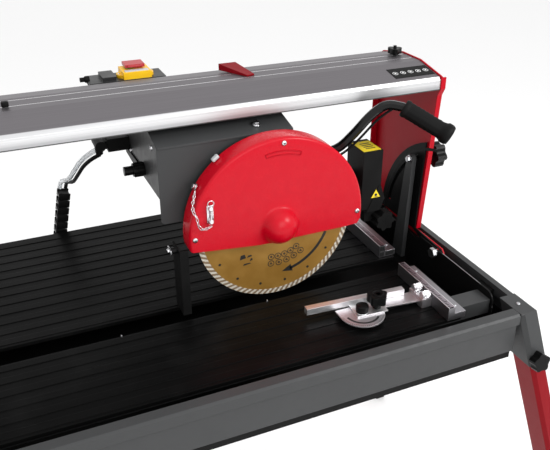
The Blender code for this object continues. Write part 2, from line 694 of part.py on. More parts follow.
def make_lines():
    """The motor cable and, beside it, the water hose, from the clamp to the cable chain."""
    cable = [Vector((CARRIAGE_X + px, py, pz)) for px, py, pz in HOSE_ROUTE]
    last = len(cable) - 1
    hose = [point + HOSE_OFFSETS[0].lerp(HOSE_OFFSETS[1], i / last)
            for i, point in enumerate(cable)]
    tube("motor_cable", smooth_route(cable, 3), 0.004, BLACK, 2)
    tube("water_hose", smooth_route(hose, 3), 0.005, CLEAR, 2)


def make_cable_chain():
    """The cable chain: down behind the table, then along the rear rail's shelf."""
    half = 0.0125
    x = CARRIAGE_X
    top = (x - 0.320, 0.0860)
    bend_radius = 0.030
    bend = (x - 0.346 + bend_radius, -0.045)
    run = bend[1] - bend_radius
    end = x - 0.090
    outer = [(top[0] - half, top[1])] + arc(bend, bend_radius + half, 180, 270, 6)
    outer += [(end, run - half)]
    inner = [(end, run + half)] + arc(bend, bend_radius - half, 270, 180, 6)
    inner += [(top[0] + half, top[1])]
    place(prism("Y", outer + inner, 0.409, 0.442), "cable_chain", BLACK)


def make_switch():
    """The safety switch on the shelf behind the bridge, with its flap and two buttons."""
    x = CARRIAGE_X
    centre_x, centre_y = x - 0.165, 0.3155
    base, deck, top = SWITCH_Z, SWITCH_Z + 0.0045, SWITCH_Z + 0.0182
    body = place(box((x - 0.257, x - 0.110), (0.288, 0.347), (base, deck)), "switch_body", YELLOW)
    ears = arc((centre_x - 0.017, centre_y), 0.0195, 90, 270, 8)
    ears += arc((centre_x + 0.017, centre_y), 0.0195, -90, 90, 8)
    join(body, prism("Z", ears, deck - 0.001, deck + 0.006),
         box((centre_x - 0.027, centre_x + 0.027), (centre_y - 0.026, centre_y + 0.026),
             (deck - 0.001, top)),
         box((x - 0.232, x - 0.206), (0.292, 0.340), (deck - 0.001, deck + 0.008)))
    button_y, flap_y = centre_y + 0.0095, centre_y + 0.0100
    button_top = top + 0.0025
    pockets = []
    for name, look, dx in (("start_button", GREEN, -0.0095), ("stop_button", RED, 0.0095)):
        low, high = centre_x + dx - 0.0075, centre_x + dx + 0.0075
        button = box((low, high), (button_y - 0.008, button_y + 0.008), (top - 0.004, button_top))
        place(button, name, look, (centre_x + dx, button_y, top))
        pockets.append(box((low - GAP, high + GAP), (button_y - 0.0083, button_y + 0.0083),
                           (top - 0.0075, top + 0.01)))
    cut(body, *pockets)
    hinge = (centre_x, flap_y + 0.0150, top + 0.0055)
    flap = box((centre_x - 0.0190, centre_x + 0.0190), (flap_y - 0.0165, flap_y + 0.0165),
               (button_top + 0.0008, button_top + 0.0068))
    place(flap, "switch_cover", RED, hinge)


# The rules and the angle stop

def make_rule(name, low, high):
    """A stepped aluminium rule, across the table's right end."""
    left = CARRIAGE_X + 0.240
    step, right = left + 0.013, left + 0.037
    z = GAP
    outline = [(left, z), (right, z), (right, 0.013), (step, 0.013), (step, 0.027), (left, 0.027)]
    place(prism("Y", outline, low, high), name, ALUMINIUM)


STOP_ANGLE = -3.5
STOP_PIVOT = (CARRIAGE_X + 0.105, -0.142)


def make_angle_stop():
    """The protractor that slides along the front rule, its bar and its clamp knob."""
    px, py = STOP_PIVOT
    plate_low, plate_high = 0.0080, 0.0105
    rule_left = CARRIAGE_X + 0.240 - GAP
    outline = arc((px, py), 0.041, 180, 360, 16) + [
        (rule_left - 0.012, py - 0.008), (rule_left - 0.012, py + 0.024), (px - 0.041, py + 0.024)]
    plate = place(prism("Z", outline, plate_low, plate_high), "protractor", ALUMINIUM, (px, py, 0))
    screw = (plate_high + 0.0045)
    join(plate, box((rule_left - 0.020, rule_left), (py - 0.018, py + 0.026), (GAP, 0.0180)),
         cylinder("X", (py + 0.017, 0.0225), 0.0068, rule_left - 0.018, rule_left - 0.001, 10),
         cylinder("X", (py - 0.010, 0.0225), 0.0068, rule_left - 0.018, rule_left - 0.001, 10))
    tongue_low, tongue_high = plate_high + GAP, plate_high + 0.0028
    bar_low, bar_high = px - 0.095, px + 0.098
    bar = place(box((bar_low, bar_high), (py + 0.025, py + 0.037), (tongue_low, 0.023)),
                "stop_bar", ALUMINIUM, (px, py, 0))
    tongue = box((px - 0.014, px + 0.046), (py - 0.012, py + 0.026), (tongue_low, tongue_high))
    join(bar, tongue, cylinder("Z", (px, py), 0.0105, tongue_low + 0.001, tongue_high + 0.013, 16))
    bar.rotation_euler.z = math.radians(STOP_ANGLE)
    turn = Matrix.Rotation(math.radians(STOP_ANGLE), 4, "Z")
    knob_centre = Vector((px, py, 0)) + turn @ Vector((0.031, 0.004, 0))
    stud = cylinder("Z", knob_centre.xy, 0.008, tongue_high + GAP, tongue_high + 0.013, 10)
    knob = place(stud, "stop_knob", BLACK, (knob_centre.x, knob_centre.y, tongue_high))
    join(knob, prism("Z", star(knob_centre.xy, 0.0190, 5), tongue_high + 0.012,
                     tongue_high + 0.028))
    for shape in bpy.data.objects:
        if shape.name.startswith("stop_bar_join"):
            spin = Matrix.Translation((px, py, 0)) @ turn @ Matrix.Translation((-px, -py, 0))
            shape.matrix_local = spin @ shape.matrix_local


for existing in list(bpy.data.objects):
    bpy.data.objects.remove(existing, do_unlink=True)

DATUM = datum()
PLAIN = material("tool", (0.5, 0.5, 0.5), 0.5, 0.0)
FRAME_GREY = material("frame_grey", (0.075, 0.078, 0.082), 0.45, 0.2)
RED = material("red_paint", (0.72, 0.012, 0.035), 0.35, 0.0)
BLACK = material("black_plastic", (0.012, 0.012, 0.013), 0.45, 0.0)
TABLE_BLACK = material("table_black", (0.010, 0.010, 0.010), 0.40, 0.1)
RUBBER = material("rubber", (0.010, 0.010, 0.010), 0.75, 0.0)
ALUMINIUM = material("aluminium", (0.60, 0.60, 0.62), 0.35, 1.0)
STEEL = material("steel", (0.55, 0.55, 0.56), 0.30, 1.0)
BLADE_GOLD = material("blade_gold", (0.50, 0.32, 0.09), 0.40, 0.7)
YELLOW = material("yellow_plastic", (0.85, 0.48, 0.0), 0.40, 0.0)
GREEN = material("green_plastic", (0.02, 0.35, 0.06), 0.40, 0.0)
CLEAR = material("clear_hose", (0.80, 0.82, 0.84), 0.15, 0.0)

make_long_rails()
make_side_rail(-1, "left_rail")
make_side_rail(1, "right_rail")
for side, across in ((-1, "left"), (1, "right")):
    make_leg(side, -1, f"front_{across}")
    make_leg(side, 1, f"rear_{across}")
    make_side_plate(side, f"side_plate_{across}")
    make_tilt_post(side, f"tilt_post_{across}")
    make_tilt_knob(side, f"tilt_knob_{across}")
    make_sector(side, f"sector_{across}")
    make_column(side, f"column_{across}")
make_water_tray()
make_water_pump()
make_table("front_table", FRONT_TABLE, 0.0063)
make_table("rear_table", REAR_TABLE, 0.006)
make_table_support("front_support", -0.176, -0.138)
make_table_support("rear_support", 0.240, 0.278)
make_bridge()
make_rail_fittings()
make_housing()
make_wheelset("wheelset_left", ROLLERS_X[0])
make_wheelset("wheelset_right", ROLLERS_X[1])
make_motor()
make_arbor()
make_guard()
make_splash_flap()
make_handle()
make_laser()
make_side_fittings()
make_lines()
make_cable_chain()
make_switch()
make_rule("front_rule", -0.211, -0.045)
make_rule("rear_rule", 0.026, 0.326)
make_angle_stop()
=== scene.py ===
"""Looks for the bridge tile saw: materials on the CAD nodes, and the small pieces around them."""

import json
import math

import bpy
import bmesh
from mathutils import Matrix, Vector


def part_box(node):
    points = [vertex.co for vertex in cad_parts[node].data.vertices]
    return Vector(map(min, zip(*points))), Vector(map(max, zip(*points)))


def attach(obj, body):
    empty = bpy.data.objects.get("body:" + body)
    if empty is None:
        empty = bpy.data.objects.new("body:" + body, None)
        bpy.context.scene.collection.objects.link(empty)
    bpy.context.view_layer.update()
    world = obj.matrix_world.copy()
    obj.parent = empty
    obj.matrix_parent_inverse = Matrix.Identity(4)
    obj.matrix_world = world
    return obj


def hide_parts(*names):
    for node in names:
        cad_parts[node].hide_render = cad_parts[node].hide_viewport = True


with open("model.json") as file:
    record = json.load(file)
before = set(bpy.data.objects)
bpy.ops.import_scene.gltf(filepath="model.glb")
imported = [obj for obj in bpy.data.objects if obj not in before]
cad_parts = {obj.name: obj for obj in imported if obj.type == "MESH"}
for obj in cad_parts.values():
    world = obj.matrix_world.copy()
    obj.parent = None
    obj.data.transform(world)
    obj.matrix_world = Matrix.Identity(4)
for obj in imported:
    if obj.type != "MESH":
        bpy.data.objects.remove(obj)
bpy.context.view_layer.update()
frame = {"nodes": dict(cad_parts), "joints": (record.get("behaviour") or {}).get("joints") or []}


def middle(node):
    """The centre of a CAD node's box."""
    low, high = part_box(node)
    return (low + high) / 2


def outer(node, axis=0):
    """How far a node reaches out from the middle plane."""
    low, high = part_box(node)
    return max(high[axis], -low[axis])


BLADE = middle("blade")
RIM_TEETH = 84
PROTRACTOR_RADIUS = 0.041
SIDES = ((-1, "left"), (1, "right"))
CORNERS = ("front_left", "front_right", "rear_left", "rear_right")
FRONTWARD = Matrix.Rotation(math.pi / 2, 4, "X")
SIDEWARD = Matrix.Rotation(math.pi / 2, 4, "Z") @ FRONTWARD


def at(x, y, z):
    """A point given in millimetres from the blade's centre."""
    return BLADE + Vector((x, y, z)) / 1000


def tilt_geometry():
    """Pivot, stud and slot radius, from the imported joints."""
    pivot = next(j for j in frame["joints"] if j["name"] == "bridge_tilt")["pos_m"]
    stud = next(j for j in frame["joints"] if j["name"] == "tilt_knob_right_turn")["pos_m"]
    dy, dz = stud[1] - pivot[1], stud[2] - pivot[2]
    return pivot[1:], stud[1:], math.hypot(dy, dz), math.degrees(math.atan2(dz, dy))


def protractor_pivot():
    """The stop bar's pivot, on the protractor's top."""
    low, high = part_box("protractor")
    return Vector((low.x + PROTRACTOR_RADIUS, low.y + PROTRACTOR_RADIUS, high.z))


PIVOT_YZ, STUD_YZ, TILT_RADIUS, REST_ANGLE = tilt_geometry()
PIVOT = protractor_pivot()


# Node materials

class Look:
    """A Principled material with helpers for its nodes."""

    def __init__(self, name, colour, roughness, metallic=0.0, specular=0.5, **values):
        self.material = bpy.data.materials.new(name)
        self.material.use_nodes = True
        self.nodes = self.material.node_tree.nodes
        self.links = self.material.node_tree.links
        self.shader = self.nodes["Principled BSDF"]
        self.set(self.shader, "Base Color", (*colour, 1))
        self.set(self.shader, "Roughness", roughness)
        self.set(self.shader, "Metallic", metallic)
        self.set(self.shader, "Specular IOR Level", specular)
        for label, value in values.items():
            self.set(self.shader, label.replace("_", " "), value)
        self.coordinates = self.nodes.new("ShaderNodeTexCoord").outputs["Object"]
        self.normal = None

    def set(self, node, socket, value):
        """Link a socket to an output, or give it a constant."""
        target = node.inputs[socket]
        if isinstance(value, bpy.types.NodeSocket):
            self.links.new(value, target)
        else:
            target.default_value = value

    def stretched(self, scale):
        """Coordinates scaled along each axis."""
        node = self.nodes.new("ShaderNodeMapping")
        self.set(node, "Vector", self.coordinates)
        self.set(node, "Scale", scale)
        return node.outputs["Vector"]

    def noise(self, scale, detail=3.0, vector=None, roughness=0.5):
        """Noise from 0 to 1."""
        node = self.nodes.new("ShaderNodeTexNoise")
        self.set(node, "Vector", vector or self.coordinates)
        self.set(node, "Scale", scale)
        self.set(node, "Detail", detail)
        self.set(node, "Roughness", roughness)
        return node.outputs["Fac"]

    def spread(self, value, low, high, to_low=0.0, to_high=1.0):
        """A value mapped from one range to another."""
        node = self.nodes.new("ShaderNodeMapRange")
        self.set(node, "Value", value)
        for socket, number in (("From Min", low), ("From Max", high),
                               ("To Min", to_low), ("To Max", to_high)):
            self.set(node, socket, number)
        return node.outputs["Result"]

    def math(self, operation, first, second=0.0):
        """One arithmetic step."""
        node = self.nodes.new("ShaderNodeMath")
        node.operation = operation
        self.set(node, 0, first)
        self.set(node, 1, second)
        return node.outputs[0]

    def times(self, value, *others):
        """A product; with masks, where all of them are 1."""
        for other in others:
            value = self.math("MULTIPLY", value, other)
        return value

    def mix(self, factor, first, second):
        """A colour mixed from two."""
        node = self.nodes.new("ShaderNodeMix")
        node.data_type = "RGBA"
        self.set(node, 0, factor)
        for index, colour in ((6, first), (7, second)):
            if not isinstance(colour, bpy.types.NodeSocket):
                colour = (*colour, 1)
            self.set(node, index, colour)
        return node.outputs[2]

    def axes(self, centre=(0, 0, 0)):
        """X, Y and Z measured from a point."""
        node = self.nodes.new("ShaderNodeSeparateXYZ")
        self.set(node, 0, self.coordinates)
        return [self.math("SUBTRACT", node.outputs[i], centre[i]) for i in range(3)]

    def distance(self, across, up):
        """Distance from the point that two coordinates are measured from."""
        squares = [self.times(value, value) for value in (across, up)]
        return self.math("POWER", self.math("ADD", *squares), 0.5)

    def arc_mask(self, across, up, radius, half, start, end):
        """1 on part of a ring, between two angles in degrees."""
        off_ring = self.math("SUBTRACT", self.distance(across, up), radius)
        ring = self.math("LESS_THAN", self.math("ABSOLUTE", off_ring), half)
        angle = self.math("ARCTAN2", up, across)
        after = self.math("GREATER_THAN", angle, math.radians(start))
        before = self.math("LESS_THAN", angle, math.radians(end))
        return self.times(ring, after, before)

    def bump(self, height, strength, distance=0.001):
        """Add a bump to the shader's normal."""
        node = self.nodes.new("ShaderNodeBump")
        self.set(node, "Height", height)
        self.set(node, "Strength", strength)
        self.set(node, "Distance", distance)
        if self.normal is not None:
            self.set(node, "Normal", self.normal)
        self.normal = node.outputs["Normal"]
        self.set(self.shader, "Normal", self.normal)
        return self

    def soft_edges(self, radius):
        """Round the edges in the shading."""
        node = self.nodes.new("ShaderNodeBevel")
        node.samples = 4
        self.set(node, "Radius", radius)
        self.normal = node.outputs["Normal"]
        self.set(self.shader, "Normal", self.normal)
        return self

    def painted(self):
        """The colour mixed so far."""
        return self.shader.inputs["Base Color"].links[0].from_socket

    def colour(self, value):
        self.set(self.shader, "Base Color", value)
        return self

    def rough(self, value):
        self.set(self.shader, "Roughness", value)
        return self

    def metal(self, value):
        self.set(self.shader, "Metallic", value)
        return self


def coated(name, colour, roughness, peel=700.0, dust=0.06, edge=0.0012, **values):
    """Sprayed or powder-coated metal: orange peel, faint dust and scuffs."""
    look = Look(name, colour, roughness, **values).soft_edges(edge)
    cloud = look.spread(look.noise(6.0, 5.0), 0.35, 0.75)
    lighter = [min(1, channel + dust) for channel in colour]
    look.colour(look.mix(look.times(cloud, 0.5), colour, lighter))
    scuffs = look.spread(look.noise(45.0, 6.0, roughness=0.65), 0.45, 0.7)
    look.rough(look.math("ADD", look.times(scuffs, 0.10), roughness))
    return look.bump(look.noise(peel, 2.0), 0.12, 0.0004)


def moulded(name, colour, roughness, grain=1500.0, strength=0.25, edge=0.0010, **values):
    """Moulded plastic or rubber with a fine spark-eroded grain."""
    look = Look(name, colour, roughness, **values).soft_edges(edge)
    patch = look.spread(look.noise(25.0, 4.0), 0.3, 0.8)
    lighter = [min(1, channel * 1.4 + 0.001) for channel in colour]
    look.colour(look.mix(patch, colour, lighter))
    look.rough(look.math("ADD", look.times(patch, 0.12), roughness))
    return look.bump(look.noise(grain, 2.0), strength, 0.0003)


def brushed(name, colour, roughness, along=(4.0, 900.0, 900.0), **values):
    """Metal brushed or drawn along one axis."""
    look = Look(name, colour, roughness, 1.0, **values).soft_edges(0.0008)
    lines = look.noise(1.0, 4.0, look.stretched(along), 0.6)
    darker = [channel * 0.78 for channel in colour]
    look.colour(look.mix(look.spread(lines, 0.3, 0.7), darker, colour))
    look.rough(look.spread(lines, 0.3, 0.7, roughness - 0.06, roughness + 0.10))
    return look.bump(lines, 0.10, 0.0003)


def frame_grey():
    return coated("frame_grey", (0.040, 0.041, 0.042), 0.40, dust=0.010, specular=0.22)


def red_paint():
    return coated("red_paint", (0.49, 0.0005, 0.011), 0.27, dust=0.003, specular=0.22)


def leg_red():
    return coated("leg_red", (0.20, 0.001, 0.005), 0.30, dust=0.002, specular=0.1)


def column_red_painted_shade():
    """Red paint, darker than the guard's red as painted shade, with bare steel on the pivot bolt and
    a black slot of painted shade for the tilt stud.
    """
    # Painted shade: the base red is a darker copy of the guard's red, for the columns' shaded faces.
    look = coated("column_red_painted_shade", (0.42, 0.001, 0.010), 0.34, dust=0.003, specular=0.12)
    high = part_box("side_plate_right")[1]
    x, y, z = look.axes((0, BLADE.y, high.z - 0.006))
    inside = look.math("LESS_THAN", look.math("ABSOLUTE", x), high.x - 0.029)
    near = look.math("LESS_THAN", look.math("ADD", look.math("ABSOLUTE", y),
                                            look.math("ABSOLUTE", z)), 0.03)
    bolt = look.times(inside, near)
    # Painted shade: the slot is not cut. A near-black arc is painted where it opens, for the shade
    # in its depth.
    slot = look.arc_mask(y, z, TILT_RADIUS, 0.0065, REST_ANGLE - 48, REST_ANGLE + 4)
    slot_painted_shade = look.mix(slot, look.painted(), (0.004, 0.004, 0.004))
    look.colour(look.mix(bolt, slot_painted_shade, (0.45, 0.45, 0.46)))
    return look.metal(bolt)


def table_black():
    """Black table sheet, with a satin that streaks along the ribs."""
    look = Look("table_black", (0.003, 0.003, 0.003), 0.34, specular=0.05)
    look.soft_edges(0.0010)
    streak = look.noise(1.0, 5.0, look.stretched((5.0, 160.0, 5.0)), 0.6)
    dust = look.spread(look.noise(9.0, 6.0), 0.5, 0.85)
    look.colour(look.mix(dust, (0.003, 0.003, 0.003), (0.008, 0.008, 0.008)))
    look.rough(look.spread(streak, 0.3, 0.7, 0.26, 0.44))
    return look.bump(look.noise(600.0, 2.0), 0.10, 0.0003)


def bridge_metal():
    """Anodised extrusion: a bright rounded front with bands of painted reflection and shade, and a
    brushed grey top.
    """
    look = brushed("bridge_metal", (0.80, 0.80, 0.81), 0.27)
    _, y, z = look.axes(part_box("bridge_rail")[0])
    # satin holds the rounded front's colour. Bands of painted reflection and shade go on it by
    # height: a grey upper band, the bright middle, a darker grey lower band, and a near-black strip
    # at the foot that is partly a seal and partly a painted shadow line.
    satin = look.painted()
    for start, end, painted_band_tone in ((0.0190, 0.0260, (0.60, 0.60, 0.61)),
                             (0.0125, 0.0055, (0.46, 0.46, 0.47)),
                             (0.0022, 0.0018, (0.10, 0.10, 0.10))):
        satin = look.mix(look.spread(z, start, end), satin, painted_band_tone)
    behind_front = look.spread(y, 0.0045, 0.0065)
    top = look.times(behind_front, look.spread(z, 0.020, 0.023))
    lines = look.noise(1.0, 4.0, look.stretched((3.0, 700.0, 200.0)), 0.6)
    grey = look.mix(lines, (0.155, 0.145, 0.155), (0.235, 0.222, 0.235))
    look.colour(look.mix(top, satin, grey))
    return look.rough(look.spread(top, 0, 1, 0.36, 0.50))


# Bright metal for the strips of painted highlight in the bridge's grooves.
def groove_painted_highlight():
    return brushed("groove_painted_highlight", (0.93, 0.93, 0.94), 0.22)


def blade_gold():
    """Gold lacquer over steel that is ground in rings."""
    look = Look("blade_gold", (0.45, 0.235, 0.048), 0.42, 0.45)
    x, _, z = look.axes(BLADE)
    rings = look.math("SINE", look.times(look.distance(x, z), 9000.0))
    cloud = look.spread(look.noise(18.0, 5.0), 0.35, 0.75)
    look.colour(look.mix(cloud, (0.34, 0.175, 0.032), (0.47, 0.26, 0.060)))
    look.rough(look.spread(look.noise(60.0, 4.0), 0.3, 0.7, 0.28, 0.46))
    return look.bump(rings, 0.05, 0.0002)


def rim_metal():
    """Sintered diamond rim: pale grit, with painted shade darkening the valleys between the slanted
    ridges.
    """
    look = Look("rim_metal", (0.55, 0.50, 0.42), 0.50, 0.4)
    x, _, z = look.axes(BLADE)
    slant = look.times(look.distance(x, z), 6.0)
    turn = look.math("ADD", look.math("ARCTAN2", z, x), slant)
    wave = look.math("SINE", look.times(turn, RIM_TEETH))
    ridge = look.spread(wave, -0.35, 0.35)
    grit = look.noise(1400.0, 3.0)
    pale = look.mix(look.spread(grit, 0.35, 0.65), (0.50, 0.44, 0.34), (0.86, 0.82, 0.74))
    # Painted shade: the valleys between the ridges are painted dark brown.
    look.colour(look.mix(ridge, (0.26, 0.18, 0.11), pale))
    return look.bump(grit, 0.5, 0.0004)


def ruled(node):
    """Aluminium rule with engraved ticks along Y, its top face painted lighter than its sides as
    painted light.
    """
    across, step = 0.013, 0.0050
    look = brushed(f"{node}_metal", (0.36, 0.35, 0.37), 0.34, (900.0, 6.0, 900.0))
    low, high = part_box(node)
    x, y, z = look.axes(low)
    upper = look.math("GREATER_THAN", z, high.z - low.z - 0.0008)
    off_centre = look.math("ABSOLUTE", look.math("SUBTRACT", x, across / 2))
    scale = look.times(look.math("LESS_THAN", off_centre, across * 0.42), upper)
    # Painted light: the top face is painted near-white, lighter than the sides, for the light it
    # catches.
    bright = look.mix(upper, look.painted(), (0.90, 0.89, 0.91))
    strip = look.mix(scale, bright, (0.34, 0.30, 0.33))
    tick = look.math("LESS_THAN", look.math("FRACT", look.math("DIVIDE", y, step)), 0.40)
    tall = look.math("LESS_THAN", look.math("FRACT", look.math("DIVIDE", y, step * 4)), 0.25)
    reach = look.math("ADD", look.times(tall, across * 0.25), across * 0.50)
    side = look.math("LESS_THAN", x, reach)
    mark = look.times(tick, side, scale)
    return look.colour(look.mix(mark, strip, (0.010, 0.008, 0.010)))


def protractor_metal():
    """Satin plate with degree marks round its edge."""
    look = brushed("protractor_metal", (0.66, 0.63, 0.65), 0.42, (700.0, 700.0, 700.0))
    x, y, _ = look.axes(PIVOT)
    radius = look.distance(x, y)
    marks_per_radian = 36 / math.pi
    turn = look.times(look.math("ARCTAN2", y, x), marks_per_radian)
    phase = look.math("FRACT", turn)
    tick = look.math("LESS_THAN", phase, 0.25)
    rim = look.times(look.math("GREATER_THAN", radius, 0.0365),
                    look.math("LESS_THAN", radius, 0.0400))
    front = look.math("LESS_THAN", y, 0.0)
    mark = look.times(tick, rim, front)
    return look.colour(look.mix(mark, look.painted(), (0.03, 0.03, 0.035)))


def switch_body_plastic():
    """Yellow moulding on a black base."""
    look = moulded("switch_plastic", (0.86, 0.46, 0.004), 0.34, 900.0, 0.10)
    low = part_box("switch_body")[0]
    x, _, z = look.axes((middle("switch_cover").x, low.y, low.z))
    base = look.math("LESS_THAN", z, 0.0046)
    side = look.math("GREATER_THAN", look.math("ABSOLUTE", x), 0.0385)
    black = look.math("MAXIMUM", base, side)
    return look.colour(look.mix(black, look.painted(), (0.012, 0.012, 0.013)))


def clear_plastic():
    look = Look("clear_plastic", (0.90, 0.93, 0.95), 0.10, Transmission_Weight=0.55, IOR=1.42)
    return look.bump(look.noise(120.0, 3.0), 0.05, 0.0005)


def floor_paper():
    """The stage floor's pale paper."""
    look = Look("floor_paper", (0.97, 0.97, 0.97), 0.9, specular=0.1)
    soft = look.noise(0.4, 1.0)
    return look.colour(look.mix(soft, (0.96, 0.96, 0.96), (0.98, 0.98, 0.98))).material


def paper(name, colour, roughness=0.45):
    """A printed label's film. The black one also makes sheets of painted shade."""
    look = Look(name, colour, roughness)
    film = look.noise(70.0, 3.0)
    darker = [channel * 0.85 for channel in colour]
    look.colour(look.mix(look.spread(film, 0.3, 0.7), darker, colour))
    return look.bump(film, 0.04, 0.0003)


MAKERS = {
    "grey": frame_grey, "red": red_paint, "column": column_red_painted_shade, "leg": leg_red,
    "table": table_black, "bridge": bridge_metal, "groove": groove_painted_highlight, "gold": blade_gold,
    "rim": rim_metal,
    "protractor": protractor_metal, "switch": switch_body_plastic, "clear": clear_plastic,
    "front_rule": lambda: ruled("front_rule"), "rear_rule": lambda: ruled("rear_rule"),
    "aluminium": lambda: brushed("bar_aluminium", (0.90, 0.90, 0.91), 0.42),
    "chrome": lambda: brushed("zinc_steel", (0.80, 0.80, 0.82), 0.20, (500.0, 500.0, 500.0)),
    "steel": lambda: brushed("turned_steel", (0.52, 0.52, 0.54), 0.28, (60.0, 900.0, 60.0)),
    "plate": lambda: coated("plate_black", (0.006, 0.006, 0.006), 0.36, dust=0.002, specular=0.07),
    "plastic": lambda: moulded("black_plastic", (0.006, 0.006, 0.006), 0.36, specular=0.06),
    "knob": lambda: moulded("knob_black", (0.004, 0.004, 0.004), 0.24, 1100.0, 0.2, specular=0.09),
    "tray": lambda: moulded("tray_plastic", (0.004, 0.004, 0.004), 0.42, 500.0, 0.35, specular=0.08),
    "motor": lambda: coated("motor_paint", (0.012, 0.012, 0.013), 0.38, 300.0, 0.008, specular=0.2),
    "gloss": lambda: coated("gloss_black", (0.003, 0.003, 0.003), 0.16, 350.0, 0.003, specular=0.3),
    "foam": lambda: moulded("grip_foam", (0.003, 0.003, 0.003), 0.50, 600.0, 0.6, specular=0.12),
    "rubber": lambda: moulded("flap_rubber", (0.004, 0.004, 0.004), 0.50, 350.0, 0.4, specular=0.12),
    "cover": lambda: moulded("cover_red", (0.36, 0.016, 0.022), 0.30, 900.0, 0.1),
    "button_red": lambda: moulded("button_red", (0.65, 0.02, 0.02), 0.35, 900.0, 0.1),
    "button_green": lambda: moulded("button_green", (0.02, 0.33, 0.06), 0.35, 900.0, 0.1),
    "strip": lambda: moulded("strip_grey", (0.42, 0.43, 0.44), 0.28, 900.0, 0.1),
    "yellow_label": lambda: paper("yellow_label", (0.90, 0.68, 0.02)),
    # The black film is used for print, and also for sheets of painted shade in holes, slots, cells
    # and recesses.
    "black_print_and_shade": lambda: paper("black_print_and_shade", (0.012, 0.012, 0.012)),
    "white_print": lambda: paper("white_print", (0.80, 0.80, 0.80)),
}
LOOKS = {}


def look(name):
    """A shared material, made on first use."""
    if name not in LOOKS:
        LOOKS[name] = MAKERS[name]().material
    return LOOKS[name]


def sides(*stems):
    """The names of nodes that come as a left and a right one."""
    return [f"{stem}_{name}" for stem in stems for _, name in SIDES]


def corners(stem):
    """The names of nodes that come one to a corner."""
    return [f"{stem}_{corner}" for corner in CORNERS]


CAD_LOOKS = {
    "grey": ["front_rail", "rear_rail", "left_rail", "right_rail", "front_support",
             "rear_support", *sides("tilt_post"), "carriage_housing", *corners("leg_socket")],
    "leg": [*corners("leg"), "rail_stop"],
    "red": ["blade_guard"],
    "column": sides("column"),
    "knob": [*corners("leg_knob"), *sides("tilt_knob"), "lock_knob", "carriage_lock", "stop_knob"],
    "tray": ["water_tray", "water_pump"],
    "table": ["front_table", "rear_table"],
    "plate": sides("side_plate", "sector"),
    "bridge": ["bridge_rail"],
    "front_rule": ["front_rule"], "rear_rule": ["rear_rule"], "protractor": ["protractor"],
    "aluminium": ["stop_bar"], "steel": [*sides("wheelset"), "arbor"],
    "gold": ["blade"], "motor": ["motor"], "gloss": ["handle_tube"],
    "plastic": ["laser_unit", "cable_clamp", "cable_chain", "motor_cable"],
    "foam": ["handle_grip"], "rubber": ["splash_flap"], "clear": ["water_hose"],
    "switch": ["switch_body"], "cover": ["switch_cover"], "button_red": ["stop_button"],
    "button_green": ["start_button"],
}


def dress_cad():
    """Give each CAD node its procedural material."""
    for name, nodes in CAD_LOOKS.items():
        for node in nodes:
            frame["nodes"][node].material_slots[0].material = look(name)


# Mesh helpers

def shown(bm, name, material, body, sharp=35):
    """A bmesh as a named, smooth-shaded piece that rides on a body."""
    bmesh.ops.remove_doubles(bm, verts=bm.verts, dist=1e-6)
    bmesh.ops.recalc_face_normals(bm, faces=bm.faces)
    mesh = bpy.data.meshes.new(name)
    bm.to_mesh(mesh)
    bm.free()
    mesh.shade_smooth()
    mesh.set_sharp_from_angle(angle=math.radians(sharp))
    piece = bpy.data.objects.new(name, mesh)
    bpy.context.scene.collection.objects.link(piece)
    mesh.materials.append(look(material))
    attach(piece, body)
    return piece


def merged(*parts):
    """Several bmeshes in one."""
    bm = bmesh.new()
    for part in parts:
        mesh = bpy.data.meshes.new("part")
        part.to_mesh(mesh)
        part.free()
        bm.from_mesh(mesh)
        bpy.data.meshes.remove(mesh)
    return bm


def rounded_box(size, centre, radius=0.001, segments=2, turn=None):
    """A box with rounded edges; turn is a rotation matrix about its centre."""
    bm = bmesh.new()
    bmesh.ops.create_cube(bm, size=1.0)
    bmesh.ops.scale(bm, vec=size, verts=bm.verts)
    bmesh.ops.bevel(bm, geom=bm.edges, offset=radius, segments=segments, profile=0.5,
                    affect="EDGES")
    if turn is not None:
        bmesh.ops.transform(bm, matrix=turn.to_4x4(), verts=bm.verts)
    bmesh.ops.translate(bm, vec=centre, verts=bm.verts)
    return bm


def frame_along(origin, direction):
    """A frame at origin whose Z runs along direction."""
    turn = Vector(direction).to_track_quat("Z", "Y").to_matrix().to_4x4()
    return Matrix.Translation(origin) @ turn


def lofted(bm, rings):
    """Faces from each ring of vertices to the next, and over both ends."""
    for lower, upper in zip(rings, rings[1:]):
        for i in range(len(lower)):
            j = (i + 1) % len(lower)
            bm.faces.new((lower[i], lower[j], upper[j], upper[i]))
    bm.faces.new(rings[0])
    bm.faces.new(rings[-1])
    return bm


def lathed(profile, place, steps=24):
    """A profile of (radius, height) turned round the Z of a frame; open ends are closed."""
    bm = bmesh.new()
    rings = []
    for radius, height in profile:
        ring = []
        for i in range(steps):
            a = 2 * math.pi * i / steps
            spot = Vector((radius * math.cos(a), radius * math.sin(a), height))
            ring.append(bm.verts.new(place @ spot))
        rings.append(ring)
    return lofted(bm, rings)


def extruded(outline, place, depth):
    """A flat outline in a frame's XY, pushed along its Z."""
    bm = bmesh.new()
    low = [bm.verts.new(place @ Vector((x, y, 0))) for x, y in outline]
    high = [bm.verts.new(place @ Vector((x, y, depth))) for x, y in outline]
    return lofted(bm, [low, high])


def arc(centre, radius, start, end, steps):
    """Points on an arc, in degrees."""
    angles = [math.radians(start + (end - start) * i / steps) for i in range(steps + 1)]
    return [(centre[0] + radius * math.cos(a), centre[1] + radius * math.sin(a)) for a in angles]


def polar(radius, angle):
    """The point at a radius and an angle in degrees."""
    return arc((0, 0), radius, angle, angle, 1)[0]


def hoop(centre, outside, inside, steps):
    """The outline of a thin ring, open by a sliver."""
    return arc(centre, outside, 0, 350, steps) + arc(centre, inside, 350, 0, steps)


